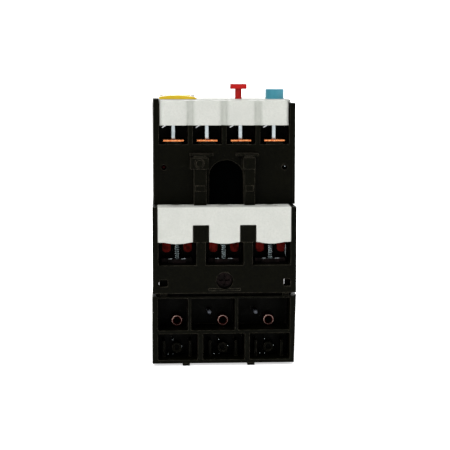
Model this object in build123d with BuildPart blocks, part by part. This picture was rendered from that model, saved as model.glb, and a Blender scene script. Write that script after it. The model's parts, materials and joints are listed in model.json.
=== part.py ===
from build123d import *
import math
import os

# A three-pole bimetal motor protection relay on its separate mounting base, lying on its back.
# Millimetres. +Z is the front of the device, -Y its load (cable) side, +X its right-hand side.
# The origin is at the bottom of the feet, in the middle of the outline.

os.makedirs("parts", exist_ok=True)

# ---- Driving dimensions -------------------------------------------------------------------------

# Widths
HALF_WIDTH = 22.5  # relay with its standard 45 mm of width
BASE_HALF = 22.4
UPPER_LEFT, UPPER_RIGHT = -22.0, 22.4  # the mechanism housing sits a little to the right
WALL = 1.6
FIT = 0.05  # radial clearance of what turns or slides

# Levels, from the panel up
Z_BASE = 0.8
Z_BASE_TOP = 22.25
Z_BAND = 23.9
Z_WELL = 32.7
Z_SHROUD = 39.9
Z_NOTCH = 45.2
Z_DECK = 50.95
Z_FLOOR = Z_DECK + WALL
Z_AUX_WELL = 70.0
Z_AUX_SHROUD = 76.0
Z_PLATE = 82.8
Z_FRONT = 84.0

# Places along the device
Y_END = 42.5
Y_BASE_LOAD = -38.5
Y_SHROUD_BACK = 33.0
Y_WELL_BACK = 31.0
Y_ROOM = 29.4
Y_UPPER_WALL = -33.0
Y_RELAY_BACK = 17.0
Y_LINE_BLOCK = 18.2
LIP = 0.3

# Poles and main terminals
POLE_PITCH = 14.75
POLES = [-POLE_PITCH, 0.0, POLE_PITCH]
WELL_HALF = 5.95
DIVIDER_X = POLE_PITCH / 2
NOTCH_HALF = 2.45
SHROUD_HALF = 20.9
Y_SCREW = 36.0
SCREW_R = 1.75  # M3.5
MAIN_HEAD_R = 2.8
MAIN_TRAVEL = 2.0
PLATE_TOP = 34.2
MAIN_CLAMP_Z = 40.3
CLAMP_HALF = 4.75

# Auxiliary terminals
AUX_PITCH = 10.7
AUX_OFFSET = 0.4
AUX = [AUX_OFFSET + AUX_PITCH * (i - 1.5) for i in range(4)]
AUX_WELL_HALF = 4.6
Y_AUX_SCREW = -29.0
Y_AUX_BACK = -24.0
AUX_PLATE_Z = 70.65
AUX_PLATE_TOP = 71.45
AUX_CLAMP_Z = 76.2
AUX_HEAD_R = 2.8

# Base
POCKETS_LOW = [(-20.9, -8.3), (-6.6, 6.6), (8.2, 21.0)]
POCKETS_HIGH = [(-20.9, -11.4), (-10.4, 3.5), (4.5, 21.0)]
POCKET_BACK = -27.0
BASE_ROOM_Z = 8.4
RAIL_HALF = 17.7  # channel for the 35 mm rail
RAIL_TOP = 6.8
MOUNT_X, MOUNT_Y, MOUNT_R = 17.3, 22.3, 2.25
SOCKET_Z = 13.5
SOCKET_R, SOCKET_BORE = 1.7, 1.2

# Rail slider
SLIDER_X = (-13.1, 9.8)
ARM_WIDTH = 2.3
SLIDER_FRONT = -21.9
SLOT_FRONT = -25.6
RAIL_SPRING_R = 1.5

# Front controls
Y_CONTROLS = -14.0
DIAL_X, DIAL_R = -13.8, 4.55
TEST_X, TEST_R = 6.15, 1.0
RESET_X, RESET_R = 18.1, 3.0
RESET_TOP = 87.25
PLUNGER_R = 1.5

# Mechanism
STRIP_Y = -6.0
STRIP_HALF = 0.45
STRIP_TOP = 57.6
LEVER_X, LEVER_Y = 18.2, 0.0
ROCKER_Y, ROCKER_Z = -10.0, 74.5
PIN_R = 1.0
UPPER_MIDDLE = (UPPER_LEFT + UPPER_RIGHT) / 2
POSTS = [UPPER_MIDDLE - 18.2, UPPER_MIDDLE + 18.2]
POST_Y = 12.4
HOUSING_SCREWS = [-18.2, 18.2]
HOUSING_SCREW_Y = 5.0
FUNNEL_R = 2.88
BULGE = 0.5

# ---- Helpers: solids added to, or cut from, the sub-part that is being built ----------------------


def block(x, y, z, mode=Mode.ADD):
    """A box between the two values of each pair."""
    centre = [(pair[0] + pair[1]) / 2 for pair in (x, y, z)]
    with Locations(tuple(centre)):
        Box(x[1] - x[0], y[1] - y[0], z[1] - z[0], mode=mode)


def rod(x, y, z, radius, mode=Mode.ADD):
    """A round bar along Z, between the two values of z."""
    with Locations((x, y, z[0])):
        Cylinder(radius, z[1] - z[0], align=(Align.CENTER, Align.CENTER, Align.MIN), mode=mode)


def rod_y(x, y, z, radius, mode=Mode.ADD):
    """A round bar along Y, between the two values of y."""
    with Locations((x, (y[0] + y[1]) / 2, z)):
        Cylinder(radius, y[1] - y[0], rotation=(90, 0, 0), mode=mode)


def rod_x(x, y, z, radius, mode=Mode.ADD):
    """A round bar along X, between the two values of x."""
    with Locations(((x[0] + x[1]) / 2, y, z)):
        Cylinder(radius, x[1] - x[0], rotation=(0, 90, 0), mode=mode)


def cross_slot(x, y, top, reach, depth):
    """Cuts a cross in the head of a screw that stands along Z."""
    block((x - 0.3, x + 0.3), (y - reach, y + reach), (top - depth, top + 1), Mode.SUBTRACT)
    block((x - reach, x + reach), (y - 0.3, y + 0.3), (top - depth, top + 1), Mode.SUBTRACT)


def toward(side, near, far):
    """The y pair between two distances from the middle, on the load (-1) or line (+1) side."""
    return tuple(sorted((side * near, side * far)))


def main_wells(side):
    """Cuts the three terminal wells, the slots for their plates and the room for the screw tips."""
    for x in POLES:
        block((x - WELL_HALF, x + WELL_HALF), toward(side, Y_WELL_BACK, Y_END),
              (Z_WELL, Z_SHROUD), Mode.SUBTRACT)
        block((x - CLAMP_HALF, x + CLAMP_HALF), toward(side, Y_ROOM - 1, Y_WELL_BACK + 1),
              (Z_WELL, PLATE_TOP), Mode.SUBTRACT)
        rod(x, side * Y_SCREW, (Z_WELL - MAIN_TRAVEL - 0.3, Z_WELL), SCREW_R + 0.35, Mode.SUBTRACT)


def shroud_seat(side):
    """Cuts the seat of the finger guard, leaving the two divider blocks standing in it."""
    block((-SHROUD_HALF - FIT, SHROUD_HALF + FIT), toward(side, Y_SHROUD_BACK, Y_END + 1),
          (Z_SHROUD, Z_DECK + 1), Mode.SUBTRACT)
    for x in (-DIVIDER_X, DIVIDER_X):
        block((x - NOTCH_HALF, x + NOTCH_HALF), toward(side, Y_SHROUD_BACK, Y_END - 0.1), (Z_SHROUD, Z_NOTCH))


# ---- Mounting base --------------------------------------------------------------------------------

POST_HALF = 3.0
POST_Y_RANGE = (-31.0, -26.0)
BAND_SCREW_Z = 27.8
HOOKS = [(-20.2, -17.9), (18.6, 20.6)]
TONGUE = 1.0
TONGUE_Z = (3.0, 4.2)
LIP_Z = (4.2, 5.6)
LIP_Y = 16.0

with BuildPart() as base_housing:
    with BuildSketch(Plane.XY.offset(Z_BASE)):
        with Locations((0, (Y_BASE_LOAD + Y_END) / 2)):
            RectangleRounded(2 * BASE_HALF, Y_END - Y_BASE_LOAD, 0.6)
    extrude(amount=Z_BASE_TOP - Z_BASE)
    for pocket in POCKETS_LOW:
        block(pocket, (Y_BASE_LOAD - 1, POCKET_BACK), (1.9, 10.3), Mode.SUBTRACT)
    for pocket in POCKETS_HIGH:
        block(pocket, (Y_BASE_LOAD - 1, POCKET_BACK), (11.4, 21.6), Mode.SUBTRACT)
    # Rooms for the through conductors, one for each pole
    for x in POLES:
        block((x - 6.1, x + 6.1), (POCKET_BACK + WALL, Y_END - WALL),
              (BASE_ROOM_Z, Z_BASE_TOP), Mode.SUBTRACT)
        rod_y(x, (POCKET_BACK - 1, POCKET_BACK + WALL + 1), SOCKET_Z, SOCKET_R + FIT, Mode.SUBTRACT)
        # a boss and a round rib in the lower pocket, moulded in one with its back wall
        rod_y(x, (POCKET_BACK - 5, POCKET_BACK), 4.6, 1.6)
        rod_y(x, (POCKET_BACK - 5.5, POCKET_BACK - 3), 4.6, 1.0, Mode.SUBTRACT)
        block((x - 4.6, x - 3.8), (POCKET_BACK - 6, POCKET_BACK), (1.9, 7.0))
        block((x + 3.8, x + 4.6), (POCKET_BACK - 6, POCKET_BACK), (1.9, 7.0))
    for x, z in ((-4.3, 16.4), (10.6, 16.3)):
        rod_y(x, (POCKET_BACK - 4.5, POCKET_BACK), z, 0.6)
    # Rail channel, with its fixed hook on the line side
    block((-BASE_HALF - 1, BASE_HALF + 1), (-RAIL_HALF, RAIL_HALF), (0, RAIL_TOP), Mode.SUBTRACT)
    block((-BASE_HALF, BASE_HALF), (LIP_Y, RAIL_HALF), LIP_Z)
    # Guide slot of the rail slider
    block((SLIDER_X[0] - 0.1, SLIDER_X[1] + 0.1), (SLOT_FRONT, -RAIL_HALF), (0, 6.0), Mode.SUBTRACT)
    block((SLIDER_X[0] - TONGUE - 0.1, SLIDER_X[1] + TONGUE + 0.1), (SLOT_FRONT, -RAIL_HALF),
          (TONGUE_Z[0] - 0.1, TONGUE_Z[1] + 0.1), Mode.SUBTRACT)
    # Two screw holes, diagonally opposite
    for x, y in ((MOUNT_X, -MOUNT_Y), (-MOUNT_X, MOUNT_Y)):
        rod(x, y, (0, BASE_ROOM_Z + 1), MOUNT_R, Mode.SUBTRACT)
    # Post for the relay's holding screw
    block((-POST_HALF, POST_HALF), POST_Y_RANGE, (Z_BASE_TOP - 0.5, 31.0))
    rod_y(0, (POST_Y_RANGE[0] - 1, POST_Y_RANGE[1] + 1), BAND_SCREW_Z, 1.45 + FIT, Mode.SUBTRACT)
    # Nubs that level the base with the slider's arms
    for x in (-17.5, 17.5):
        block((x - 1.5, x + 1.5), (37.0, 41.0), (0, Z_BASE + 0.1))
base_housing.part.label = "base_housing"
export_step(base_housing.part, "parts/base_housing.step")

with BuildPart() as rail_slider:
    block(SLIDER_X, (SLIDER_FRONT, -RAIL_HALF), (0.75, LIP_Z[1]))
    block(SLIDER_X, (-RAIL_HALF, -LIP_Y), LIP_Z)
    block((SLIDER_X[0] - TONGUE, SLIDER_X[1] + TONGUE), (SLIDER_FRONT, -18.5), TONGUE_Z)
    for x in SLIDER_X:
        inner = x + ARM_WIDTH if x < 0 else x - ARM_WIDTH
        block(tuple(sorted((x, inner))), (-38.3, -18.0), (0, 0.75))
    slider_middle = sum(SLIDER_X) / 2
    rod_y(slider_middle, (SLIDER_FRONT - 1, -18.4), 3.2, RAIL_SPRING_R + 0.2, Mode.SUBTRACT)
rail_slider.part.label = "rail_slider"
export_step(rail_slider.part, "parts/rail_slider.step")

RAIL_WIRE = 0.22
with BuildPart() as rail_spring:
    rail_spring_run = (SLOT_FRONT + RAIL_WIRE + FIT, -18.4 - RAIL_WIRE - FIT)
    with BuildLine() as rail_spring_line:
        Helix(1.0, rail_spring_run[1] - rail_spring_run[0], RAIL_SPRING_R - RAIL_WIRE,
              center=(slider_middle, rail_spring_run[0], 3.2), direction=(0, 1, 0))
    with BuildSketch(Plane(rail_spring_line.line @ 0, z_dir=rail_spring_line.line % 0)):
        Circle(RAIL_WIRE)
    sweep(path=rail_spring_line.line, is_frenet=True)
rail_spring.part.label = "rail_spring"
export_step(rail_spring.part, "parts/rail_spring.step")

with BuildPart() as latch_hooks:
    for hook in HOOKS:
        block(hook, (-38.2, -36.6), (Z_BASE_TOP, 23.0))
        block(hook, (-37.6, -36.8), (Z_BASE_TOP, 29.0))
        block(hook, (-38.7, -36.8), (28.3, 29.0))
latch_hooks.part.label = "latch_hooks"
export_step(latch_hooks.part, "parts/latch_hooks.step")

RISER_Y = (22.8, 24.0)
with BuildPart() as pole_sockets:
    for x in POLES:
        rod_y(x, (-32.0, -12.0), SOCKET_Z, SOCKET_R)
        rod_y(x, (-33.0, -16.0), SOCKET_Z, SOCKET_BORE, Mode.SUBTRACT)
        block((x - 2.5, x + 2.5), (-13.0, RISER_Y[1]), (SOCKET_Z - 0.6, SOCKET_Z + 0.6))
        block((x - 2.5, x + 2.5), RISER_Y, (SOCKET_Z, Z_WELL))
pole_sockets.part.label = "pole_sockets"
export_step(pole_sockets.part, "parts/pole_sockets.step")

# ---- Line terminals, on the base ------------------------------------------------------------------

with BuildPart() as line_terminal_block:
    block((-BASE_HALF, BASE_HALF), (Y_LINE_BLOCK, Y_END), (Z_BASE_TOP, Z_DECK))
    block((-5.0, 5.0), (Y_END - 1, Y_END + LIP), (24.7, 25.4))
    shroud_seat(1)
    main_wells(1)
    for x in POLES:
        room = (x - WELL_HALF, x + WELL_HALF)
        block(room, (Y_LINE_BLOCK + WALL, Y_ROOM), (Z_WELL, Z_DECK - WALL), Mode.SUBTRACT)
        block(room, (Y_LINE_BLOCK + WALL, Y_END - WALL), (Z_BASE_TOP - 1, Z_WELL - 1.8), Mode.SUBTRACT)
        rod(x, Y_SCREW, (Z_WELL - 3, Z_WELL), SCREW_R + 0.35, Mode.SUBTRACT)
        block((x - 2.6, x + 2.6), (RISER_Y[0] - 0.1, RISER_Y[1] + 0.1), (Z_WELL - 3, Z_WELL), Mode.SUBTRACT)
        block((x - 2.5, x + 2.5), (Y_LINE_BLOCK - 1, Y_LINE_BLOCK + WALL + 1),
              (PLATE_TOP - 0.1, PLATE_TOP + 1.3), Mode.SUBTRACT)
        block((x - 2.5, x + 2.5), (Y_ROOM - 1, Y_WELL_BACK + 1),
              (PLATE_TOP - 0.1, PLATE_TOP + 1.3), Mode.SUBTRACT)
line_terminal_block.part.label = "line_terminal_block"
export_step(line_terminal_block.part, "parts/line_terminal_block.step")


def main_plates(side, upturn):
    """The three terminal plates of one side, each with its narrow tongue and threaded hole."""
    for x in POLES:
        block((x - CLAMP_HALF, x + CLAMP_HALF), toward(side, 21.5, 36.9), (Z_WELL, PLATE_TOP))
        block((x - 2.75, x + 2.75), toward(side, 36.5, 38.4), (Z_WELL, PLATE_TOP))
        rod(x, side * Y_SCREW, (Z_WELL - 1, PLATE_TOP + 1), SCREW_R + FIT, Mode.SUBTRACT)
        if upturn:
            block((x - 2.5, x + 2.5), toward(side, 21.5, 22.7), (PLATE_TOP, 38.0))


def main_clamp(x, side):
    """A saddle washer: a plate round the screw, with two wings hanging in front of the conductor."""
    block((x - CLAMP_HALF, x + CLAMP_HALF), toward(side, 33.5, 38.0), (MAIN_CLAMP_Z, MAIN_CLAMP_Z + 1.0))
    for wing in (-1, 1):
        with BuildSketch(Plane.XZ.offset(-side * 37.0)) as wing_outline:
            with Locations((x + wing * 3.35, (36.3 + MAIN_CLAMP_Z + 0.5) / 2)):
                RectangleRounded(2.8, MAIN_CLAMP_Z + 0.5 - 36.3, 1.2)
        extrude(wing_outline.sketch, amount=-side * 1.0)
    block((x - CLAMP_HALF, x + CLAMP_HALF), toward(side, 37.0, 38.0),
          (MAIN_CLAMP_Z - 1.2, MAIN_CLAMP_Z + 0.2))
    rod(x, side * Y_SCREW, (30, 50), SCREW_R + 0.15, Mode.SUBTRACT)


def terminal_screw(x, y, z_head, head_radius, tip):
    """A slotted pan-head screw along Z, head up."""
    rod(x, y, (tip, z_head + 0.2), SCREW_R)
    rod(x, y, (z_head, z_head + 2.1), head_radius)
    block((x - 0.4, x + 0.4), (y - head_radius, y + head_radius), (z_head + 1.1, z_head + 3), Mode.SUBTRACT)


with BuildPart() as line_terminal_plates:
    main_plates(1, upturn=False)
line_terminal_plates.part.label = "line_terminal_plates"
export_step(line_terminal_plates.part, "parts/line_terminal_plates.step")

for side, name in ((-1, "load"), (1, "line")):
    for number, x in enumerate(POLES, 1):
        with BuildPart() as main_clamp_piece:
            main_clamp(x, side)
        main_clamp_piece.part.label = f"{name}_clamp_{number}"
        export_step(main_clamp_piece.part, f"parts/{name}_clamp_{number}.step")

        with BuildPart() as main_screw_piece:
            terminal_screw(x, side * Y_SCREW, MAIN_CLAMP_Z + 1.0 + FIT, MAIN_HEAD_R, Z_WELL)
        main_screw_piece.part.label = f"{name}_screw_{number}"
        export_step(main_screw_piece.part, f"parts/{name}_screw_{number}.step")


def finger_guard(side):
    """A white guard over the three clamps, notched for the dividers, with a funnel over each screw."""
    block((-SHROUD_HALF, SHROUD_HALF), toward(side, Y_SHROUD_BACK + FIT, Y_END), (Z_SHROUD, Z_DECK))
    for x in (-DIVIDER_X, DIVIDER_X):
        block((x - NOTCH_HALF - 0.08, x + NOTCH_HALF + 0.08), toward(side, 30, 50),
              (Z_SHROUD - 1, Z_NOTCH + 0.08), Mode.SUBTRACT)
    for x in POLES:
        # the lower edge bulges down a little over each pole
        with BuildSketch(Plane.XZ.offset(-side * Y_END)) as bulge:
            with BuildLine():
                ends = [(x - 4.8, Z_SHROUD + 0.2), (x + 4.8, Z_SHROUD + 0.2)]
                arc = ThreePointArc(ends[0], (x, Z_SHROUD - BULGE), ends[1])
                Line(arc @ 1, arc @ 0)
            make_face()
        extrude(bulge.sketch, amount=side * 1.2)
        cavity = POLE_PITCH / 2 - NOTCH_HALF
        block((x - cavity, x + cavity), toward(side, Y_SHROUD_BACK - 1, Y_END - 1.2),
              (Z_SHROUD - 1, 46.6), Mode.SUBTRACT)
        rod(x, side * Y_SCREW, (46, Z_DECK + 1), FUNNEL_R, Mode.SUBTRACT)


with BuildPart() as line_shroud:
    finger_guard(1)
line_shroud.part.label = "line_shroud"
export_step(line_shroud.part, "parts/line_shroud.step")

# ---- Relay: pole housing --------------------------------------------------------------------------

with BuildPart() as pole_housing:
    block((-HALF_WIDTH, HALF_WIDTH), (-Y_END, Y_RELAY_BACK), (Z_BAND, Z_DECK))
    block((-5.0, 5.0), (-Y_END - LIP, -Y_END + 1), (24.7, 25.4))
    block((-21.5, 21.5), (-36.5, 16.5), (Z_BASE_TOP, Z_BAND))
    shroud_seat(-1)
    main_wells(-1)
    for x in POLES:
        left = x - (6.2 if x < 0 else 6.7)
        right = x + (6.2 if x > 0 else 6.7)
        block((left, right), (-Y_ROOM, Y_RELAY_BACK - WALL), (25.5, Z_DECK + 1), Mode.SUBTRACT)
        block((x - 2.5, x + 2.5), (Y_RELAY_BACK - 3, Y_RELAY_BACK + 1),
              (PLATE_TOP - 0.1, PLATE_TOP + 1.3), Mode.SUBTRACT)
    # Slot for the base's post, and the holding screw's recess and bore
    block((-POST_HALF - 0.2, POST_HALF + 0.2), (POST_Y_RANGE[0] - 0.2, POST_Y_RANGE[1] + 0.2),
          (Z_BASE_TOP - 1, 31.2), Mode.SUBTRACT)
    rod_y(0, (-Y_END - 1, -38.4), BAND_SCREW_Z, 2.65, Mode.SUBTRACT)
    rod_y(0, (-39, -30), BAND_SCREW_Z, 1.6, Mode.SUBTRACT)
    # Windows of the latch hooks
    for hook in HOOKS:
        wide = (hook[0] - 0.1, hook[1] + 0.1)
        block(wide, (-40.5, -36.4), (Z_BAND - 1, 29.4), Mode.SUBTRACT)
        block(wide, (-Y_END - 1, -36.4), (26.0, 28.2), Mode.SUBTRACT)
    # Bosses for the screws that hold the mechanism housing
    for x in HOUSING_SCREWS:
        rod(x, HOUSING_SCREW_Y, (37.0, Z_DECK), 2.7)
        web = tuple(sorted((x, math.copysign(21.5, x))))
        block(web, (HOUSING_SCREW_Y - 1.5, HOUSING_SCREW_Y + 1.5), (37.0, Z_DECK))
        rod(x, HOUSING_SCREW_Y, (Z_DECK - 10, Z_DECK + 1), 1.25 + FIT, Mode.SUBTRACT)
pole_housing.part.label = "pole_housing"
export_step(pole_housing.part, "parts/pole_housing.step")

with BuildPart() as load_shroud:
    finger_guard(-1)
load_shroud.part.label = "load_shroud"
export_step(load_shroud.part, "parts/load_shroud.step")

with BuildPart() as load_terminal_plates:
    main_plates(-1, upturn=True)
load_terminal_plates.part.label = "load_terminal_plates"
export_step(load_terminal_plates.part, "parts/load_terminal_plates.step")

with BuildPart() as relay_pins:
    for x in POLES:
        block((x - 2.4, x + 2.4), (-2.5, 30.0), (PLATE_TOP, PLATE_TOP + 1.2))
relay_pins.part.label = "relay_pins"
export_step(relay_pins.part, "parts/relay_pins.step")

with BuildPart() as bimetal_strips:
    for x in POLES:
        block((x - STRIP_HALF, x + STRIP_HALF), (STRIP_Y - 2.5, STRIP_Y + 2.5), (27.0, STRIP_TOP))
bimetal_strips.part.label = "bimetal_strips"
export_step(bimetal_strips.part, "parts/bimetal_strips.step")

with BuildPart() as bimetal_brackets:
    for x in POLES:
        block((x - 2.5, x + 2.5), (STRIP_Y - 3.5, STRIP_Y + 3.5), (25.5, 30.5))
        block((x - STRIP_HALF, x + STRIP_HALF), (STRIP_Y - 2.5, STRIP_Y + 2.5), (27.0, 31), Mode.SUBTRACT)
        block((x - 2.5, x + 2.5), (STRIP_Y + 2.9, STRIP_Y + 3.5), (30.0, PLATE_TOP))
bimetal_brackets.part.label = "bimetal_brackets"
export_step(bimetal_brackets.part, "parts/bimetal_brackets.step")

HEATER_R, HEATER_WIRE = 3.3, 0.5
with BuildPart() as heater_winding:
    with BuildLine() as heater_line:
        Helix(1.6, 11.2, HEATER_R, center=(0, STRIP_Y, 37.0))
    with BuildSketch(Plane(heater_line.line @ 0, z_dir=heater_line.line % 0)):
        Circle(HEATER_WIRE)
    sweep(path=heater_line.line, is_frenet=True)

with BuildPart() as heater_windings:
    with Locations(*[(x, 0, 0) for x in POLES]):
        add(heater_winding.part)
heater_windings.part.label = "heater_windings"
export_step(heater_windings.part, "parts/heater_windings.step")

with BuildPart() as relay_screw:
    rod_y(0, (-40.6, -38.4), BAND_SCREW_Z, 2.45)
    rod_y(0, (-38.5, -27.5), BAND_SCREW_Z, 1.45)
    block((-1.7, 1.7), (-41, -39.6), (BAND_SCREW_Z - 0.35, BAND_SCREW_Z + 0.35), Mode.SUBTRACT)
    block((-0.35, 0.35), (-41, -39.6), (BAND_SCREW_Z - 1.7, BAND_SCREW_Z + 1.7), Mode.SUBTRACT)
relay_screw.part.label = "relay_screw"
export_step(relay_screw.part, "parts/relay_screw.step")

with BuildPart() as housing_screws:
    for x in HOUSING_SCREWS:
        rod(x, HOUSING_SCREW_Y, (Z_DECK - 9, Z_FLOOR + 0.2), 1.25)
        rod(x, HOUSING_SCREW_Y, (Z_FLOOR, Z_FLOOR + 1.5), 2.1)
        cross_slot(x, HOUSING_SCREW_Y, Z_FLOOR + 1.5, 1.4, 0.7)
housing_screws.part.label = "housing_screws"
export_step(housing_screws.part, "parts/housing_screws.step")

# ---- Relay: mechanism housing ---------------------------------------------------------------------

INNER_LEFT, INNER_RIGHT = UPPER_LEFT + WALL, UPPER_RIGHT - WALL
WELLS_LEFT = AUX[0] - AUX_WELL_HALF
Y_INNER_FRONT = -31.0
PILLARS = [((-9.3, -5.4), (-10.4, -4.8), (-10.5, -3.2)), ((6.6, 9.9), (6.1, 10.0), (4.1, 11.1))]
AUX_SHELF = (68.4, Z_AUX_WELL)
LEDGE_RIGHT = (76.3, 77.1)
LEDGE_LEFT = (76.4, 77.6)

with BuildPart() as mechanism_housing:
    block((UPPER_LEFT, UPPER_RIGHT), (Y_UPPER_WALL, Y_RELAY_BACK), (Z_DECK, Z_PLATE))
    block((UPPER_LEFT, UPPER_LEFT + 1.75), (Y_UPPER_WALL, Y_AUX_BACK), (Z_PLATE - 1, 84.4))
    block((21.25, UPPER_RIGHT), (Y_UPPER_WALL, Y_AUX_BACK), (Z_PLATE - 1, 83.0))
    block((INNER_LEFT, INNER_RIGHT), (Y_INNER_FRONT, Y_RELAY_BACK - WALL),
          (Z_FLOOR, Z_PLATE + 1), Mode.SUBTRACT)
    block((WELLS_LEFT, 21.25), (Y_UPPER_WALL - 1, Y_AUX_BACK), (Z_AUX_WELL, Z_FRONT + 1), Mode.SUBTRACT)
    # Wells of the auxiliary terminals: shelf, back wall and dividers
    block((INNER_LEFT - 0.1, INNER_RIGHT + 0.1), (Y_UPPER_WALL + 0.5, Y_AUX_BACK + WALL), AUX_SHELF)
    block((INNER_LEFT - 0.1, INNER_RIGHT + 0.1), (Y_AUX_BACK, Y_AUX_BACK + WALL), (AUX_SHELF[0], Z_PLATE))
    block((21.05, 21.3), (Y_UPPER_WALL, Y_AUX_BACK), (Z_AUX_WELL - 0.5, Z_AUX_SHROUD))
    for left, right in zip(AUX[:-1], AUX[1:]):
        middle = (left + right) / 2
        block((middle - 0.75, middle + 0.75), (Y_UPPER_WALL, Y_AUX_BACK + 0.1),
              (Z_AUX_WELL - 0.5, Z_AUX_SHROUD))
    for x in AUX:
        block((x - 2.6, x + 2.6), (Y_UPPER_WALL + 1.1, Y_AUX_BACK + 0.1), (Z_AUX_WELL - 0.5, AUX_PLATE_Z))
        block((x - 2.05, x + 2.05), (Y_AUX_BACK - 1, Y_AUX_BACK + WALL + 1),
              (AUX_PLATE_Z, AUX_PLATE_TOP + FIT),
              Mode.SUBTRACT)
        rod(x, Y_AUX_SCREW, (AUX_SHELF[0] - 1, AUX_PLATE_Z + 0.1), SCREW_R + 0.35, Mode.SUBTRACT)
    # Front wall: pillars, arched recess between them and two small holes
    for shaft, head, cap in PILLARS:
        block(shaft, (-37.0, Y_UPPER_WALL + 0.5), (Z_DECK + 0.1, 66.5))
        block(head, (-37.5, Y_UPPER_WALL + 0.5), (62.4, 66.0))
        block(cap, (-36.5, Y_UPPER_WALL + 0.5), (66.5, 67.2))
        block((shaft[0] + 0.4, shaft[1] - 0.5), (-37.25, -36.5), (55.4, 57.2))
    rod_y(-7.6, (-37.8, -37.25), 64.2, 1.5, Mode.SUBTRACT)
    rod_y(-7.6, (-37.5, -37.2), 64.2, 1.1)
    with BuildSketch(Plane.XZ.offset(-Y_UPPER_WALL)) as recess_outline:
        with Locations((1.0, (Z_DECK + 60.0) / 2)):
            Rectangle(10.8, 60.0 - Z_DECK)
        with Locations((1.0, 60.0)):
            Ellipse(5.4, 5.0)
    extrude(recess_outline.sketch, amount=-1.2, mode=Mode.SUBTRACT)
    for x in (-18.7, 19.6):
        rod_y(x, (Y_UPPER_WALL - 1, Y_INNER_FRONT + 1), 62.75, 0.9, Mode.SUBTRACT)
    # Floor: slots for the strips and holes for the housing screws
    for x in POLES:
        block((x - 1.2, x + 2.2), (STRIP_Y - 3, STRIP_Y + 3), (Z_DECK - 1, Z_FLOOR + 1), Mode.SUBTRACT)
    for x in HOUSING_SCREWS:
        rod(x, HOUSING_SCREW_Y, (Z_DECK - 1, Z_FLOOR + 1), 1.6, Mode.SUBTRACT)
    for x in POSTS:
        rod(x, POST_Y, (Z_FLOOR - 0.5, Z_PLATE), 2.6)
        rod(x, POST_Y, (Z_PLATE - 14, Z_PLATE + 1), 1.25 + FIT, Mode.SUBTRACT)
    # Ledges that guide the plunger, the test button and the dial
    block((2.0, INNER_RIGHT + 0.1), (-18.0, -10.2), LEDGE_RIGHT)
    rod(RESET_X, Y_CONTROLS, (LEDGE_RIGHT[0] - 1, LEDGE_RIGHT[1] + 1), PLUNGER_R + FIT, Mode.SUBTRACT)
    rod(TEST_X, Y_CONTROLS, (LEDGE_RIGHT[0] - 1, LEDGE_RIGHT[1] + 1), TEST_R + FIT, Mode.SUBTRACT)
    rod(RESET_X, Y_CONTROLS, (78.5, Z_PLATE + 1), RESET_R + FIT, Mode.SUBTRACT)
    block((INNER_LEFT - 0.1, -8.0), (-19.0, -9.0), LEDGE_LEFT)
    rod(DIAL_X, Y_CONTROLS, (LEDGE_LEFT[0] - 1, LEDGE_LEFT[1] + 1), PLUNGER_R + FIT, Mode.SUBTRACT)
    # Pivots: the trip lever's pin and the rocker's two bearings
    rod(LEVER_X, LEVER_Y, (Z_FLOOR - 0.5, 61.0), PIN_R)
    rod_x((INNER_LEFT - 0.9, INNER_RIGHT + 0.9), ROCKER_Y, ROCKER_Z, PIN_R + FIT, Mode.SUBTRACT)
mechanism_housing.part.label = "mechanism_housing"
export_step(mechanism_housing.part, "parts/mechanism_housing.step")

SHROUD_LEFT, SHROUD_RIGHT = -20.0, 21.1
with BuildPart() as aux_shroud:
    with BuildSketch(Plane.XY.offset(Z_AUX_SHROUD)):
        with Locations(((SHROUD_LEFT + SHROUD_RIGHT) / 2, (-33.2 + Y_AUX_BACK) / 2)):
            Rectangle(SHROUD_RIGHT - SHROUD_LEFT, -FIT + Y_AUX_BACK + 33.2 - FIT)
        for x in AUX:
            left = max(SHROUD_LEFT, x - 4.9)
            right = min(SHROUD_RIGHT, x + 4.9)
            with Locations(((left + right) / 2, -31.6)):
                RectangleRounded(right - left, 4.8, 1.4)
    extrude(amount=83.8 - Z_AUX_SHROUD)
    for x in AUX:
        block((x - 4.2, x + 4.2), (-32.6, -25.0), (Z_AUX_SHROUD - 1, 80.6), Mode.SUBTRACT)
        rod(x, Y_AUX_SCREW, (80, 85), FUNNEL_R, Mode.SUBTRACT)
aux_shroud.part.label = "aux_shroud"
export_step(aux_shroud.part, "parts/aux_shroud.step")

# The two on the left are the break contact's, the two on the right the make contact's.
AUX_PLATE_END = [-14.8, -14.8, -2.2, -2.2]
with BuildPart() as aux_terminal_plates:
    for x, end in zip(AUX, AUX_PLATE_END):
        block((x - 3.25, x + 3.25), (-32.4, Y_AUX_BACK - 0.3), (AUX_PLATE_Z, AUX_PLATE_TOP))
        block((x - 2.0, x + 2.0), (Y_AUX_BACK - 1, end), (AUX_PLATE_Z, AUX_PLATE_TOP))
        rod(x, Y_AUX_SCREW, (AUX_PLATE_Z - 1, AUX_PLATE_TOP + 1), SCREW_R + FIT, Mode.SUBTRACT)
aux_terminal_plates.part.label = "aux_terminal_plates"
export_step(aux_terminal_plates.part, "parts/aux_terminal_plates.step")

for number, x in enumerate(AUX, 1):
    with BuildPart() as aux_clamp:
        block((x - 3.4, x + 3.4), (-32.1, -26.2), (AUX_CLAMP_Z, AUX_CLAMP_Z + 0.8))
        rod(x, Y_AUX_SCREW, (AUX_CLAMP_Z - 1, AUX_CLAMP_Z + 2), SCREW_R + 0.15, Mode.SUBTRACT)
    aux_clamp.part.label = f"aux_clamp_{number}"
    export_step(aux_clamp.part, f"parts/aux_clamp_{number}.step")

    with BuildPart() as aux_screw:
        terminal_screw(x, Y_AUX_SCREW, AUX_CLAMP_Z + 0.8 + FIT, AUX_HEAD_R, AUX_PLATE_Z - 1.0)
    aux_screw.part.label = f"aux_screw_{number}"
    export_step(aux_screw.part, f"parts/aux_screw_{number}.step")

# ---- Trip mechanism -------------------------------------------------------------------------------

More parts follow.
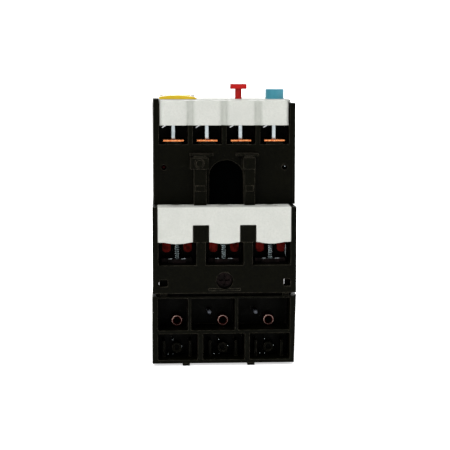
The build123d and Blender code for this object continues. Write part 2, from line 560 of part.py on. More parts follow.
with BuildPart() as trip_slider:
    block((-18.5, 17.0), (-9.0, -3.0), (53.8, 55.3))
    for x in POLES:
        block((x - 2.4, x + 0.75), (STRIP_Y - 2.7, STRIP_Y + 2.5), (53, 56), Mode.SUBTRACT)
trip_slider.part.label = "trip_slider"
export_step(trip_slider.part, "parts/trip_slider.step")

with BuildPart() as differential_slider:
    block((-18.0, 16.6), (-9.0, -3.0), (55.6, 57.1))
    for x in POLES:
        block((x - 1.6, x + 0.75), (STRIP_Y - 2.7, STRIP_Y + 2.5), (55, 58), Mode.SUBTRACT)
differential_slider.part.label = "differential_slider"
export_step(differential_slider.part, "parts/differential_slider.step")

with BuildPart() as trip_lever:
    rod(LEVER_X, LEVER_Y, (57.5, 60.2), 1.9)
    block((17.3, 18.5), (-8.0, 0.0), (57.5, 60.2))
    block((17.3, 18.5), (-8.0, -5.0), (54.0, 58.0))
    block((0.0, LEVER_X), (-0.6, 0.6), (58.5, 60.2))
    block((0.0, 2.0), (-8.6, 0.0), (58.5, 60.2))
    rod(LEVER_X, LEVER_Y, (57, 61), PIN_R + FIT, Mode.SUBTRACT)
trip_lever.part.label = "trip_lever"
export_step(trip_lever.part, "parts/trip_lever.step")

with BuildPart() as contact_rocker:
    block((INNER_LEFT + 0.4, INNER_RIGHT - 0.4), (ROCKER_Y - 1.3, ROCKER_Y + 1.3),
          (ROCKER_Z - 1.3, ROCKER_Z + 1.3))
    rod_x((INNER_LEFT - 0.8, INNER_RIGHT + 0.8), ROCKER_Y, ROCKER_Z, PIN_R)
    block((0.0, 2.0), (ROCKER_Y - 0.8, ROCKER_Y + 0.8), (58.3, ROCKER_Z))
    block((-17.4, -3.2), (-18.0, ROCKER_Y), (73.2, 74.6))
    block((4.2, 18.0), (ROCKER_Y, -2.0), (73.9, 75.2))
    block((15.0, 19.6), (-16.5, ROCKER_Y), (71.9, 73.0))
    block((15.0, 19.6), (ROCKER_Y - 1.3, ROCKER_Y), (72.5, 73.8))
contact_rocker.part.label = "contact_rocker"
export_step(contact_rocker.part, "parts/contact_rocker.step")

CONTACT_GAP = 1.22  # of the pair of contacts that is open at rest
with BuildPart() as contact_bridges:
    block((AUX[0] - 1.2, AUX[1] + 1.2), (-17.5, -15.3), (72.3, 73.2))
    block((AUX[2] - 1.2, AUX[3] + 1.2), (-4.7, -2.5), (73.1, 73.9))
    for x in AUX[:2]:
        rod(x, -16.4, (AUX_PLATE_TOP + FIT, 72.4), 1.0)
    for x in AUX[2:]:
        rod(x, -3.6, (AUX_PLATE_TOP + CONTACT_GAP, 73.2), 1.0)
contact_bridges.part.label = "contact_bridges"
export_step(contact_bridges.part, "parts/contact_bridges.step")

with BuildPart() as snap_spring:
    block((0.3, 1.7), (-11.2, -10.95), (Z_FLOOR, 62.0))
    block((0.3, 1.7), (-13.5, -10.95), (Z_FLOOR, Z_FLOOR + 0.25))
snap_spring.part.label = "snap_spring"
export_step(snap_spring.part, "parts/snap_spring.step")

# ---- Front: plate, dial and buttons ---------------------------------------------------------------

HINGE_Y, HINGE_Z = -7.4, 84.75
HINGE_PIN_R = 0.3
COVER_X = (-19.7, -7.85)
COVER_Y = (-20.6, -8.4)
COVER_TOP = 85.2
LUGS = [(-19.6, -18.4), (-9.2, -8.0)]

with BuildPart() as front_plate:
    block((UPPER_LEFT, UPPER_RIGHT), (Y_AUX_BACK, Y_RELAY_BACK), (Z_PLATE, Z_FRONT))
    rod(DIAL_X, Y_CONTROLS, (Z_PLATE - 1, Z_FRONT + 1), DIAL_R + 0.15, Mode.SUBTRACT)
    rod(TEST_X, Y_CONTROLS, (Z_PLATE - 1, Z_FRONT + 1), TEST_R + FIT, Mode.SUBTRACT)
    rod(RESET_X, Y_CONTROLS, (Z_PLATE - 1, Z_FRONT + 1), RESET_R + FIT, Mode.SUBTRACT)
    for x in POSTS:
        rod(x, POST_Y, (Z_PLATE - 1, Z_FRONT + 1), 1.6, Mode.SUBTRACT)
        rod(x, POST_Y, (Z_PLATE + 0.4, Z_FRONT + 1), 2.5, Mode.SUBTRACT)
    for lug in LUGS:
        block(lug, (HINGE_Y - 0.65, HINGE_Y + 0.65), (Z_FRONT - 0.2, HINGE_Z))
        rod_x(lug, HINGE_Y, HINGE_Z, 0.65)
        rod_x(lug, HINGE_Y, HINGE_Z, HINGE_PIN_R, Mode.SUBTRACT)
front_plate.part.label = "front_plate"
export_step(front_plate.part, "parts/front_plate.step")

with BuildPart() as cover_screws:
    for x in POSTS:
        rod(x, POST_Y, (Z_PLATE - 12, Z_PLATE + 0.6), 1.25)
        rod(x, POST_Y, (Z_PLATE + 0.4, Z_FRONT), 2.4)
        cross_slot(x, POST_Y, Z_FRONT, 1.5, 0.5)
cover_screws.part.label = "cover_screws"
export_step(cover_screws.part, "parts/cover_screws.step")

with BuildPart() as dial_cover:
    with BuildSketch(Plane.XY.offset(Z_FRONT + FIT)):
        with Locations((sum(COVER_X) / 2, sum(COVER_Y) / 2)):
            RectangleRounded(COVER_X[1] - COVER_X[0], COVER_Y[1] - COVER_Y[0], 2.0)
    extrude(amount=COVER_TOP - Z_FRONT - FIT)
    fillet(dial_cover.faces().sort_by(Axis.Z)[-1].edges(), 0.6)
    rod(DIAL_X, Y_CONTROLS, (Z_FRONT, Z_FRONT + 0.45), 5.0, Mode.SUBTRACT)
    block((LUGS[0][1] + 0.1, LUGS[1][0] - 0.1), (COVER_Y[1] - 0.5, HINGE_Y), (Z_FRONT + 0.3, HINGE_Z + 0.3))
    rod_x((LUGS[0][1] + 0.1, LUGS[1][0] - 0.1), HINGE_Y, HINGE_Z, 0.65)
    rod_x((LUGS[0][1], LUGS[1][0]), HINGE_Y, HINGE_Z, HINGE_PIN_R + FIT, Mode.SUBTRACT)
dial_cover.part.label = "dial_cover"
export_step(dial_cover.part, "parts/dial_cover.step")

with BuildPart() as dial_cover_pin:
    rod_x((LUGS[0][0], LUGS[1][1]), HINGE_Y, HINGE_Z, HINGE_PIN_R)
dial_cover_pin.part.label = "dial_cover_pin"
export_step(dial_cover_pin.part, "parts/dial_cover_pin.step")

with BuildPart() as setting_dial:
    rod(DIAL_X, Y_CONTROLS, (80.4, 83.9), DIAL_R)
    block((DIAL_X - 3.4, DIAL_X + 3.4), (Y_CONTROLS - 0.5, Y_CONTROLS + 0.5), (83.2, 85), Mode.SUBTRACT)
    rod(DIAL_X, Y_CONTROLS, (LEDGE_LEFT[0], 81), PLUNGER_R)
    rod(DIAL_X + 0.8, Y_CONTROLS, (LEDGE_LEFT[1] + 0.2, 80.5), 3.0)
setting_dial.part.label = "setting_dial"
export_step(setting_dial.part, "parts/setting_dial.step")

with BuildPart() as test_button:
    rod(TEST_X, Y_CONTROLS, (74.0, 88.0), TEST_R)
    rod(TEST_X, Y_CONTROLS, (80.4, 81.0), 1.8)
    with BuildSketch(Plane.XY.offset(87.2)):
        with Locations((TEST_X, Y_CONTROLS)):
            RectangleRounded(5.0, 4.4, 0.7)
    extrude(amount=1.6)
    fillet(test_button.faces().sort_by(Axis.Z)[-1].edges(), 0.3)
test_button.part.label = "test_button"
export_step(test_button.part, "parts/test_button.step")

with BuildPart() as reset_plunger:
    rod(RESET_X, Y_CONTROLS, (75.6, 86.0), PLUNGER_R)
    rod(RESET_X, Y_CONTROLS, (81.0, 81.6), 2.6)
reset_plunger.part.label = "reset_plunger"
export_step(reset_plunger.part, "parts/reset_plunger.step")

with BuildPart() as reset_button:
    rod(RESET_X, Y_CONTROLS, (81.7, RESET_TOP), RESET_R)
    fillet(reset_button.faces().sort_by(Axis.Z)[-1].edges(), 0.4)
    rod(RESET_X, Y_CONTROLS, (81, 86.0 + FIT), PLUNGER_R + FIT, Mode.SUBTRACT)
    block((RESET_X - 2.2, RESET_X + 2.2), (Y_CONTROLS - 0.4, Y_CONTROLS + 0.4),
          (RESET_TOP - 0.6, RESET_TOP + 1), Mode.SUBTRACT)
reset_button.part.label = "reset_button"
export_step(reset_button.part, "parts/reset_button.step")

SMALL_WIRE = 0.16
for name, x, top, radius, pitch in (
    ("test_spring", TEST_X, 80.4, 1.5, 0.8),
    ("reset_spring", RESET_X, 81.0, 2.2, 0.9),
):
    with BuildPart() as button_spring:
        bottom = LEDGE_RIGHT[1] + SMALL_WIRE + FIT
        with BuildLine() as button_spring_line:
            Helix(pitch, top - SMALL_WIRE - FIT - bottom, radius, center=(x, Y_CONTROLS, bottom))
        with BuildSketch(Plane(button_spring_line.line @ 0, z_dir=button_spring_line.line % 0)):
            Circle(SMALL_WIRE)
        sweep(path=button_spring_line.line, is_frenet=True)
    button_spring.part.label = name
    export_step(button_spring.part, f"parts/{name}.step")
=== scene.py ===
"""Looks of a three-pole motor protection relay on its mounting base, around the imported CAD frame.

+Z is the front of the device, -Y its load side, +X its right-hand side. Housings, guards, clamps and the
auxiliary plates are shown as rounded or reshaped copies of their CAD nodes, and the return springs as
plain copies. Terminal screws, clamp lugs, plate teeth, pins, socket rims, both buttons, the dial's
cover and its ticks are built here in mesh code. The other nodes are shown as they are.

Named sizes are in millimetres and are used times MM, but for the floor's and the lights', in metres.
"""

import json
import math

import bmesh
import bpy
from mathutils import Matrix, Vector


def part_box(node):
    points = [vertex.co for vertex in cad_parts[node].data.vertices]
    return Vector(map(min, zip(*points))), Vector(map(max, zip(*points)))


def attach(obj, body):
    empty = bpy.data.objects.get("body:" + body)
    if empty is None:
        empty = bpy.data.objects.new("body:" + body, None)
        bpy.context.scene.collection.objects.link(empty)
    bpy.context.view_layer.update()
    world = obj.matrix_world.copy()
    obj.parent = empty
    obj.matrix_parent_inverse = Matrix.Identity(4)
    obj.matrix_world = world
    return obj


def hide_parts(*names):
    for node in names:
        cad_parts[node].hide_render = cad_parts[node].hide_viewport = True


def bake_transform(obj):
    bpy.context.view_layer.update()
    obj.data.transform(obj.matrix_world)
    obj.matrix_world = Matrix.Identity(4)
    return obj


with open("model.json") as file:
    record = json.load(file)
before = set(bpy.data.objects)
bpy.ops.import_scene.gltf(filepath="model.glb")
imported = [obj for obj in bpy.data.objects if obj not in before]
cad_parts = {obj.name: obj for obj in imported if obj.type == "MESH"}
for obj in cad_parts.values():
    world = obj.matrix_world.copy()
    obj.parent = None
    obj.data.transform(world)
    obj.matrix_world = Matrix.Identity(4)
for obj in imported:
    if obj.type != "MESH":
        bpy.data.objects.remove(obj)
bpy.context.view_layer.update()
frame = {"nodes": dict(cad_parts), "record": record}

MM = 0.001

# ---- Camera, light and floor ----------------------------------------------------------------------

CAMERA_PLACE = Vector((-25, -470, 92)) * MM
CAMERA_TARGET = Vector((0.1, -42.5, 45.36)) * MM
SENSOR_WIDTH = 36.0
FOCAL_LENGTH = 110.6
FLOOR_HALF = 1.6
FLOOR_BACK = 0.9
BACKDROP_RADIUS = 0.45
BACKDROP_HEIGHT = 1.4
FLOOR_GLOW = 0.6
CURVE_STEPS = 12


def make_camera():
    """A long lens a little above and left of the load side's middle, aimed at that middle."""
    data = bpy.data.cameras.new("camera")
    data.sensor_width = SENSOR_WIDTH
    data.lens = FOCAL_LENGTH
    data.clip_start = 0.01
    camera = bpy.data.objects.new("camera", data)
    bpy.context.scene.collection.objects.link(camera)
    camera.location = CAMERA_PLACE
    camera.rotation_euler = (CAMERA_TARGET - CAMERA_PLACE).to_track_quat("-Z", "Y").to_euler()
    bpy.context.scene.camera = camera


def make_light(name, place, target, size, power):
    """A white rectangular light, with what it faces, its size in metres and its power in watts."""
    data = bpy.data.lights.new(name, "AREA")
    data.shape = "RECTANGLE"
    data.size, data.size_y = size
    data.energy = power
    light = bpy.data.objects.new(name, data)
    bpy.context.scene.collection.objects.link(light)
    light.location = place
    light.rotation_euler = (Vector(target) - Vector(place)).to_track_quat("-Z", "Y").to_euler()


def make_lights():
    """Soft studio light: two lights in front, one above, one on the backdrop, and a pale world."""
    middle = (0, 0, 0.045)
    make_light("key", (-0.45, -0.70, 0.55), middle, (0.4, 0.4), 3.0)
    make_light("fill", (0.60, -0.60, 0.35), middle, (0.4, 0.5), 1.0)
    make_light("top", (0.0, -0.16, 0.90), middle, (0.8, 0.8), 6.0)
    make_light("backdrop_light", (0.0, 0.45, 0.95), (0.0, 1.3, 0.35), (1.2, 0.4), 12.0)
    world = bpy.data.worlds.new("studio")
    world.use_nodes = True
    background = world.node_tree.nodes["Background"]
    background.inputs["Color"].default_value = (1, 1, 1, 1)
    background.inputs["Strength"].default_value = 0.40
    bpy.context.scene.world = world
    bpy.context.scene.view_settings.view_transform = "Standard"


def make_floor():
    """A pale floor that curves up into a backdrop behind the object."""
    profile = [(-FLOOR_HALF, 0.0), (FLOOR_BACK, 0.0)]
    for step in range(1, CURVE_STEPS + 1):
        angle = math.radians(90 * step / CURVE_STEPS)
        profile.append((FLOOR_BACK + BACKDROP_RADIUS * math.sin(angle),
                        BACKDROP_RADIUS * (1 - math.cos(angle))))
    profile.append((FLOOR_BACK + BACKDROP_RADIUS, BACKDROP_HEIGHT))
    verts = [(x, y, z) for y, z in profile for x in (-FLOOR_HALF, FLOOR_HALF)]
    faces = [(2 * i, 2 * i + 1, 2 * i + 3, 2 * i + 2) for i in range(len(profile) - 1)]
    mesh = bpy.data.meshes.new("floor")
    mesh.from_pydata(verts, [], faces)
    for polygon in mesh.polygons:
        polygon.use_smooth = True
    floor = bpy.data.objects.new("floor", mesh)
    bpy.context.scene.collection.objects.link(floor)
    paint = bpy.data.materials.new("floor_white")
    paint.use_nodes = True
    shader = paint.node_tree.nodes["Principled BSDF"]
    shader.inputs["Base Color"].default_value = (0.93, 0.93, 0.93, 1)
    shader.inputs["Emission Color"].default_value = (1, 1, 1, 1)
    shader.inputs["Emission Strength"].default_value = FLOOR_GLOW
    shader.inputs["Roughness"].default_value = 0.9
    shader.inputs["Specular IOR Level"].default_value = 0.1
    mesh.materials.append(paint)


# ---- Materials ------------------------------------------------------------------------------------


class Paint:
    """A procedural material under construction: its nodes and the few links they share."""

    def __init__(self, name):
        self.material = bpy.data.materials.new(name)
        self.material.use_nodes = True
        self.tree = self.material.node_tree
        self.shader = self.tree.nodes["Principled BSDF"]
        coordinates = self.tree.nodes.new("ShaderNodeTexCoord")
        self.millimetres = self.tree.nodes.new("ShaderNodeMapping")
        self.millimetres.inputs["Scale"].default_value = (1000, 1000, 1000)
        self.link(coordinates.outputs["Object"], self.millimetres.inputs["Vector"])

    def link(self, output, socket):
        self.tree.links.new(output, socket)

    def set(self, socket, value):
        self.shader.inputs[socket].default_value = value

    def noise(self, size, detail=3.0, stretch=(1, 1, 1)):
        """A noise whose features are about size millimetres wide, times stretch along each axis."""
        mapping = self.tree.nodes.new("ShaderNodeMapping")
        mapping.inputs["Scale"].default_value = tuple(1 / (size * s) for s in stretch)
        self.link(self.millimetres.outputs["Vector"], mapping.inputs["Vector"])
        noise = self.tree.nodes.new("ShaderNodeTexNoise")
        noise.inputs["Scale"].default_value = 1.0
        noise.inputs["Detail"].default_value = detail
        self.link(mapping.outputs["Vector"], noise.inputs["Vector"])
        return noise.outputs["Fac"]

    def spread(self, factor, low, high, start=0.3, end=0.7):
        """Maps a noise between two values."""
        node = self.tree.nodes.new("ShaderNodeMapRange")
        node.inputs["From Min"].default_value = start
        node.inputs["From Max"].default_value = end
        node.inputs["To Min"].default_value = low
        node.inputs["To Max"].default_value = high
        self.link(factor, node.inputs["Value"])
        return node.outputs["Result"]

    def mix(self, factor, colour_a, colour_b):
        """A colour between two, each a tuple or a node output."""
        node = self.tree.nodes.new("ShaderNodeMix")
        node.data_type = "RGBA"
        self.link(factor, node.inputs["Factor"])
        for socket, colour in ((node.inputs[6], colour_a), (node.inputs[7], colour_b)):
            if isinstance(colour, tuple):
                socket.default_value = (*colour, 1)
            else:
                self.link(colour, socket)
        return node.outputs[2]

    def compute(self, operation, *operands):
        """A number worked out from others, each a value or a node output."""
        node = self.tree.nodes.new("ShaderNodeMath")
        node.operation = operation
        for socket, operand in zip(node.inputs, operands):
            if isinstance(operand, (int, float)):
                socket.default_value = operand
            else:
                self.link(operand, socket)
        return node.outputs["Value"]

    def bump(self, height, distance, normal=None):
        """A bump of distance millimetres, on top of another normal if there is one."""
        node = self.tree.nodes.new("ShaderNodeBump")
        node.inputs["Distance"].default_value = distance * MM
        self.link(height, node.inputs["Height"])
        if normal is not None:
            self.link(normal, node.inputs["Normal"])
        return node.outputs["Normal"]

    def softened(self, radius):
        """The normal of the surface as if its edges were rounded by radius millimetres."""
        bevel = self.tree.nodes.new("ShaderNodeBevel")
        bevel.samples = 4
        bevel.inputs["Radius"].default_value = radius * MM
        return bevel.outputs["Normal"]

    def edges(self, soft_normal):
        """1 on sharp edges and 0 on flat stretches, where soft_normal leaves the surface's own normal."""
        geometry = self.tree.nodes.new("ShaderNodeNewGeometry")
        dot = self.tree.nodes.new("ShaderNodeVectorMath")
        dot.operation = "DOT_PRODUCT"
        self.link(soft_normal, dot.inputs[0])
        self.link(geometry.outputs["Normal"], dot.inputs[1])
        return self.spread(dot.outputs["Value"], 1.0, 0.0, start=0.75, end=0.99)


def shade(colour, factor):
    """A colour made lighter or darker by a factor."""
    return tuple(channel * factor for channel in colour)


def plastic(name, colour, roughness, grain=0.25, grain_depth=0.012, mottle=0.12, speck=0.0, worn_and_lit=None,
            wear_and_highlight=0.35, edge=0.2):
    """Moulded plastic: a spark-eroded grain, slight clouding and specks, uneven gloss and lighter edges.

    Speck is the share by which specks are darker than the colour, and lighter when it is negative. Edges
    about edge millimetres wide are painted in the colour given for their edges, up to the share given for
    them: partly scuffing, partly a painted edge highlight.
    """
    paint = Paint(name)
    clouds = paint.noise(6.0, detail=5.0)
    tone = paint.mix(paint.spread(clouds, 0.0, 1.0), shade(colour, 1 - mottle), shade(colour, 1 + mottle))
    if speck:
        specks = paint.noise(0.45, detail=3.0)
        tone = paint.mix(paint.spread(specks, 0.0, 1.0, 0.35, 0.75), tone, shade(colour, 1 - speck))
    soft_normal = paint.softened(edge)
    # Lighter edges: partly scuffing, partly a painted edge highlight.
    if worn_and_lit is not None:
        patchy = paint.spread(paint.noise(1.1), 0.0, wear_and_highlight)
        rubbed_and_lit = paint.compute("MULTIPLY", paint.edges(soft_normal), patchy)
        tone = paint.mix(rubbed_and_lit, tone, worn_and_lit)
    paint.link(tone, paint.shader.inputs["Base Color"])
    paint.link(paint.spread(paint.noise(2.2), roughness - 0.07, roughness + 0.09),
               paint.shader.inputs["Roughness"])
    grained = paint.bump(paint.noise(grain, detail=2.0), grain_depth, soft_normal)
    paint.link(grained, paint.shader.inputs["Normal"])
    return paint


def metal(name, colour, roughness, tarnish, scratch=0.004, stretch=(1, 1, 8), patches=2.5):
    """Plated or bare metal: drawn scratches, and tarnish in patches."""
    paint = Paint(name)
    paint.set("Metallic", 1.0)
    stained = paint.mix(paint.spread(paint.noise(patches, detail=6.0), 0.0, 1.0, 0.42, 0.72), colour, tarnish)
    paint.link(stained, paint.shader.inputs["Base Color"])
    paint.link(paint.spread(paint.noise(0.8, detail=4.0), roughness * 0.7, roughness * 1.5),
               paint.shader.inputs["Roughness"])
    drawn = paint.bump(paint.noise(0.09, detail=2.0, stretch=stretch), scratch)
    paint.link(drawn, paint.shader.inputs["Normal"])
    return paint


WHITE = (0.462, 0.470, 0.435)
# The white's edge colour, far lighter than the white: partly scuffing, partly a painted edge highlight.
WORN_AND_LIT_WHITE = (0.80, 0.80, 0.77)
# Painted shade in the auxiliary guard's grooves: its grey, how far past the end screws it reaches, and how
# many millimetres noise shifts its edges.
GROOVE_SHADE_GREY = (0.335, 0.35, 0.315)
GROOVE_MARGIN = 2.0
GROOVE_WAVE = 2.2


def white_moulding(name):
    """The white plastic."""
    return plastic(name, WHITE, 0.50, grain=0.35, grain_depth=0.010, mottle=0.05, speck=0.10, worn_and_lit=WORN_AND_LIT_WHITE,
                   wear_and_highlight=0.6)


def white_with_groove_shade():
    """The white moulding of the auxiliary guard, with painted shade in the grooves between its bulges."""
    paint = white_moulding("groove_shaded_white")
    unshaded = paint.shader.inputs["Base Color"].links[0].from_socket
    split = paint.tree.nodes.new("ShaderNodeSeparateXYZ")
    paint.link(paint.millimetres.outputs["Vector"], split.inputs["Vector"])
    x = split.outputs["X"]
    first_low, first_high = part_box("aux_screw_1")
    second_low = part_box("aux_screw_2")[0]
    groove = (first_high.x + second_low.x) / 2 / MM
    pitch = (second_low.x - first_low.x) / MM
    off_groove = paint.compute("PINGPONG", paint.compute("SUBTRACT", x, groove - 4 * pitch), pitch / 2)
    wavy = paint.compute("MULTIPLY_ADD", paint.noise(1.6, detail=4.0), GROOVE_WAVE, off_groove)
    left = first_low.x - GROOVE_MARGIN * MM
    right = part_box("aux_screw_4")[1].x + GROOVE_MARGIN * MM
    within = paint.compute("COMPARE", x, (left + right) / 2 / MM, (right - left) / 2 / MM)
    # Painted shade: grey near each groove between the bulges, only between the end screws.
    shadow = paint.compute("MULTIPLY", paint.spread(wavy, 0.85, 0.0, 1.1, 3.0), within)
    paint.link(paint.mix(shadow, unshaded, GROOVE_SHADE_GREY), paint.shader.inputs["Base Color"])
    return paint


def make_plastics():
    """The plastics, by the record's slot, or by a name of their own where no slot has that look."""
    # Black's edges are painted a far lighter brown-grey: partly scuffing, partly a painted edge highlight.
    black = plastic("black_moulding", (0.0009, 0.0009, 0.0003), 0.42, mottle=0.5, speck=-2.0,
                    worn_and_lit=(0.085, 0.075, 0.055), wear_and_highlight=1.0, edge=0.32)
    black.set("Specular IOR Level", 0.03)
    # Painted shade: a near-black for the faces of the arched recess under the pillars.
    recess = plastic("shaded_black", (0.0004, 0.0005, 0.0005), 0.6, mottle=0.4)
    recess.set("Specular IOR Level", 0.0)
    white = white_moulding("white_moulding")
    white.set("Subsurface Weight", 0.05)
    white.set("Subsurface Radius", (0.0012, 0.0011, 0.0009))
    grey = plastic("grey_moulding", (0.024, 0.024, 0.021), 0.45, worn_and_lit=(0.06, 0.06, 0.055))
    grey.set("Specular IOR Level", 0.15)
    red = plastic("red_moulding", (0.45, 0.003, 0.002), 0.34, grain_depth=0.003, mottle=0.08,
                  worn_and_lit=(0.62, 0.05, 0.03), wear_and_highlight=0.2)
    red.set("Specular IOR Level", 0.25)
    blue = plastic("blue_moulding", (0.042, 0.265, 0.355), 0.36, grain_depth=0.004, mottle=0.08, speck=0.12,
                   worn_and_lit=(0.15, 0.42, 0.54), wear_and_highlight=0.25)
    yellow = plastic("yellow_clear", (0.80, 0.55, 0.030), 0.16, grain=1.6, grain_depth=0.004, mottle=0.06)
    yellow.set("Transmission Weight", 0.12)
    yellow.set("IOR", 1.49)
    yellow.set("Coat Weight", 0.05)
    yellow.set("Specular IOR Level", 0.25)
    return {
        "black_plastic": black,
        "shaded_black": recess,
        "white_plastic": white,
        "groove_shaded_white": white_with_groove_shade(),
        "grey_plastic": grey,
        "pin_grey": plastic("pin_grey", (0.09, 0.10, 0.12), 0.35, mottle=0.2, speck=0.4),
        "ivory_plastic": plastic("ivory_moulding", (0.60, 0.53, 0.38), 0.45, mottle=0.05),
        "red_plastic": red,
        "blue_plastic": blue,
        "clear_yellow": yellow,
    }


def make_metals():
    """The metals, by the record's slot, or by a name of their own where no slot has that look."""
    return {
        "zinc_steel": metal("zinc_plate", (0.74, 0.76, 0.77), 0.15, (0.55, 0.57, 0.59), scratch=0.002),
        "dull_zinc": metal("dull_zinc", (0.48, 0.54, 0.55), 0.16, (0.20, 0.23, 0.235), scratch=0.002,
                           patches=1.4),
        "smooth_zinc": metal("smooth_zinc", (0.33, 0.365, 0.375), 0.16, (0.22, 0.25, 0.26), scratch=0.0006,
                             patches=3.0),
        # Near-black steel; also painted shade on the terminal plates and in the thread valleys of the main
        # screws.
        "dark_steel": metal("black_oxide_and_painted_shade", (0.0045, 0.0038, 0.0036), 0.35, (0.011, 0.007, 0.007)),
        "dark_rivet": metal("dark_rivet", (0.022, 0.004, 0.004), 0.45, (0.008, 0.003, 0.003)),
        "spring_steel": metal("spring_steel", (0.60, 0.60, 0.61), 0.20, (0.40, 0.40, 0.42)),
        "copper": metal("bare_copper", (0.42, 0.31, 0.27), 0.30, (0.14, 0.045, 0.035), patches=0.8),
        # Dark copper: the saddles' own dark red, and painted shade on the copper sockets.
        "copper_saddle": metal("dark_copper_and_painted_shade", (0.048, 0.0035, 0.0028), 0.42, (0.012, 0.002, 0.0015),
                               patches=1.6),
        "orange_brass": metal("stamped_brass", (0.95, 0.36, 0.13), 0.24, (0.62, 0.09, 0.02),
                              stretch=(8, 1, 1), patches=0.9),
        "silver_brass": metal("contact_silver", (0.78, 0.72, 0.60), 0.25, (0.55, 0.48, 0.36)),
    }


# ---- Mesh helpers ---------------------------------------------------------------------------------

SMOOTH_ANGLE = math.radians(35)
FLAT_ANGLE = math.radians(0.6)
ROUNDED_ANGLE = math.radians(40)
MERGE_DISTANCE = 1e-6
paints = {name: paint.material for name, paint in (make_plastics() | make_metals()).items()}
body_of = {node: body for body, nodes in frame["record"]["behaviour"]["bodies"].items() for node in nodes}
slot_of = {row["node"]: row["material_slot"] for row in frame["record"]["subparts"]}


def soften(mesh):
    """Smooth faces, with the edges above the smooth angle kept sharp."""
    work = bmesh.new()
    work.from_mesh(mesh)
    bmesh.ops.recalc_face_normals(work, faces=work.faces)
    for face in work.faces:
        face.smooth = True
    for edge in work.edges:
        edge.smooth = len(edge.link_faces) == 2 and edge.calc_face_angle(0.0) < SMOOTH_ANGLE
    work.to_mesh(mesh)
    work.free()


def place(name, mesh, body, slot, *replaced, paint=None, second=None, smoothed=False):
    """Makes a piece of a mesh, with its body, its material slot and the CAD nodes that it stands for.

    Paint is used in place of the slot's own, and second on the faces of material index 1. A mesh that is
    smoothed keeps its own normals.
    """
    if not smoothed:
        soften(mesh)
    indices = [polygon.material_index for polygon in mesh.polygons]
    mesh.materials.clear()
    mesh.materials.append(paints[paint or slot])
    if second is not None:
        mesh.materials.append(paints[second])
        mesh.polygons.foreach_set("material_index", indices)
    piece = bpy.data.objects.new(name, mesh)
    bpy.context.scene.collection.objects.link(piece)
    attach(piece, body)
    if replaced:
        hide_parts(*replaced)
    return piece


def mesh_from(name, verts, faces):
    """A mesh of vertices and faces, made valid."""
    mesh = bpy.data.meshes.new(name)
    mesh.from_pydata([tuple(v) for v in verts], [], faces)
    mesh.validate()
    return mesh


def baked(piece):
    """The piece's mesh with its modifiers applied."""
    graph = bpy.context.evaluated_depsgraph_get()
    return bpy.data.meshes.new_from_object(piece.evaluated_get(graph))


def rounded(node, width=0.18, segments=2, limited=True, paint=None, second=None, reshape=None):
    """A copy of a CAD node with its sharp edges rounded, which replaces the node.

    Width is in millimetres, and limited keeps it below what the node's shortest edges take. Reshape
    changes the finished mesh.
    """
    mesh = frame["nodes"][node].data.copy()
    mesh.attributes.remove(mesh.attributes["custom_normal"])
    work = bmesh.new()
    work.from_mesh(mesh)
    bmesh.ops.remove_doubles(work, verts=work.verts, dist=MERGE_DISTANCE)
    bmesh.ops.dissolve_limit(work, angle_limit=FLAT_ANGLE, verts=work.verts, edges=work.edges)
    for face in work.faces:
        face.smooth = True
    for edge in work.edges:
        edge.smooth = True
    work.to_mesh(mesh)
    work.free()
    draft = bpy.data.objects.new("draft", mesh)
    bpy.context.scene.collection.objects.link(draft)
    bevel = draft.modifiers.new("bevel", "BEVEL")
    bevel.width = width * MM
    bevel.segments = segments
    bevel.limit_method = "ANGLE"
    bevel.angle_limit = ROUNDED_ANGLE
    bevel.use_clamp_overlap = limited
    bevel.miter_outer = "MITER_ARC"
    weighted = draft.modifiers.new("weighted", "WEIGHTED_NORMAL")
    weighted.mode = "FACE_AREA"
    weighted.weight = 80
    finished = baked(draft)
    bpy.data.objects.remove(draft)
    if reshape is not None:
        reshape(finished)
    return place(node + "_moulding", finished, body_of[node], slot_of[node], node, paint=paint, second=second,
                 smoothed=True)


def turned(name, profile, columns=40):
    """A closed mesh of revolution about Z: profile is (radius, z) in millimetres, from its lower to its
    upper middle."""
    verts = []
    rings = []
    for radius, z in profile:
        if radius == 0:
            rings.append([len(verts)])
            verts.append((0, 0, z * MM))
            continue
        rings.append(list(range(len(verts), len(verts) + columns)))
        for k in range(columns):
            angle = 2 * math.pi * k / columns
            verts.append((radius * MM * math.cos(angle), radius * MM * math.sin(angle), z * MM))
    faces = []
    for lower, upper in zip(rings[:-1], rings[1:]):
        for k in range(columns):
            j = (k + 1) % columns
            if len(lower) == 1:
                faces.append((lower[0], upper[j], upper[k]))
            elif len(upper) == 1:
                faces.append((lower[k], lower[j], upper[0]))
            else:
                faces.append((lower[k], lower[j], upper[j], upper[k]))
    return mesh_from(name, verts, faces)


def cut(mesh, *boxes):
    """Cuts boxes, each a pair of corners, out of a mesh."""
    draft = bpy.data.objects.new("draft", mesh)
    bpy.context.scene.collection.objects.link(draft)
    tools = []
    for low, high in boxes:
        verts = [(x, y, z) for x in (low[0], high[0]) for y in (low[1], high[1]) for z in (low[2], high[2])]
        faces = [(0, 1, 3, 2), (4, 6, 7, 5), (0, 4, 5, 1), (2, 3, 7, 6), (0, 2, 6, 4), (1, 5, 7, 3)]
        tool = bpy.data.objects.new("tool", mesh_from("tool", verts, faces))
        bpy.context.scene.collection.objects.link(tool)
        tools.append(tool)
        difference = draft.modifiers.new("cut", "BOOLEAN")
        difference.object = tool
        difference.operation = "DIFFERENCE"
        difference.solver = "EXACT"
    finished = baked(draft)
    for helper in (*tools, draft):
        bpy.data.objects.remove(helper)
    return finished


def joined(name, *meshes):
    """One mesh of several."""
    work = bmesh.new()
    for mesh in meshes:
        work.from_mesh(mesh)
    whole = bpy.data.meshes.new(name)
    work.to_mesh(whole)
    work.free()
    return whole


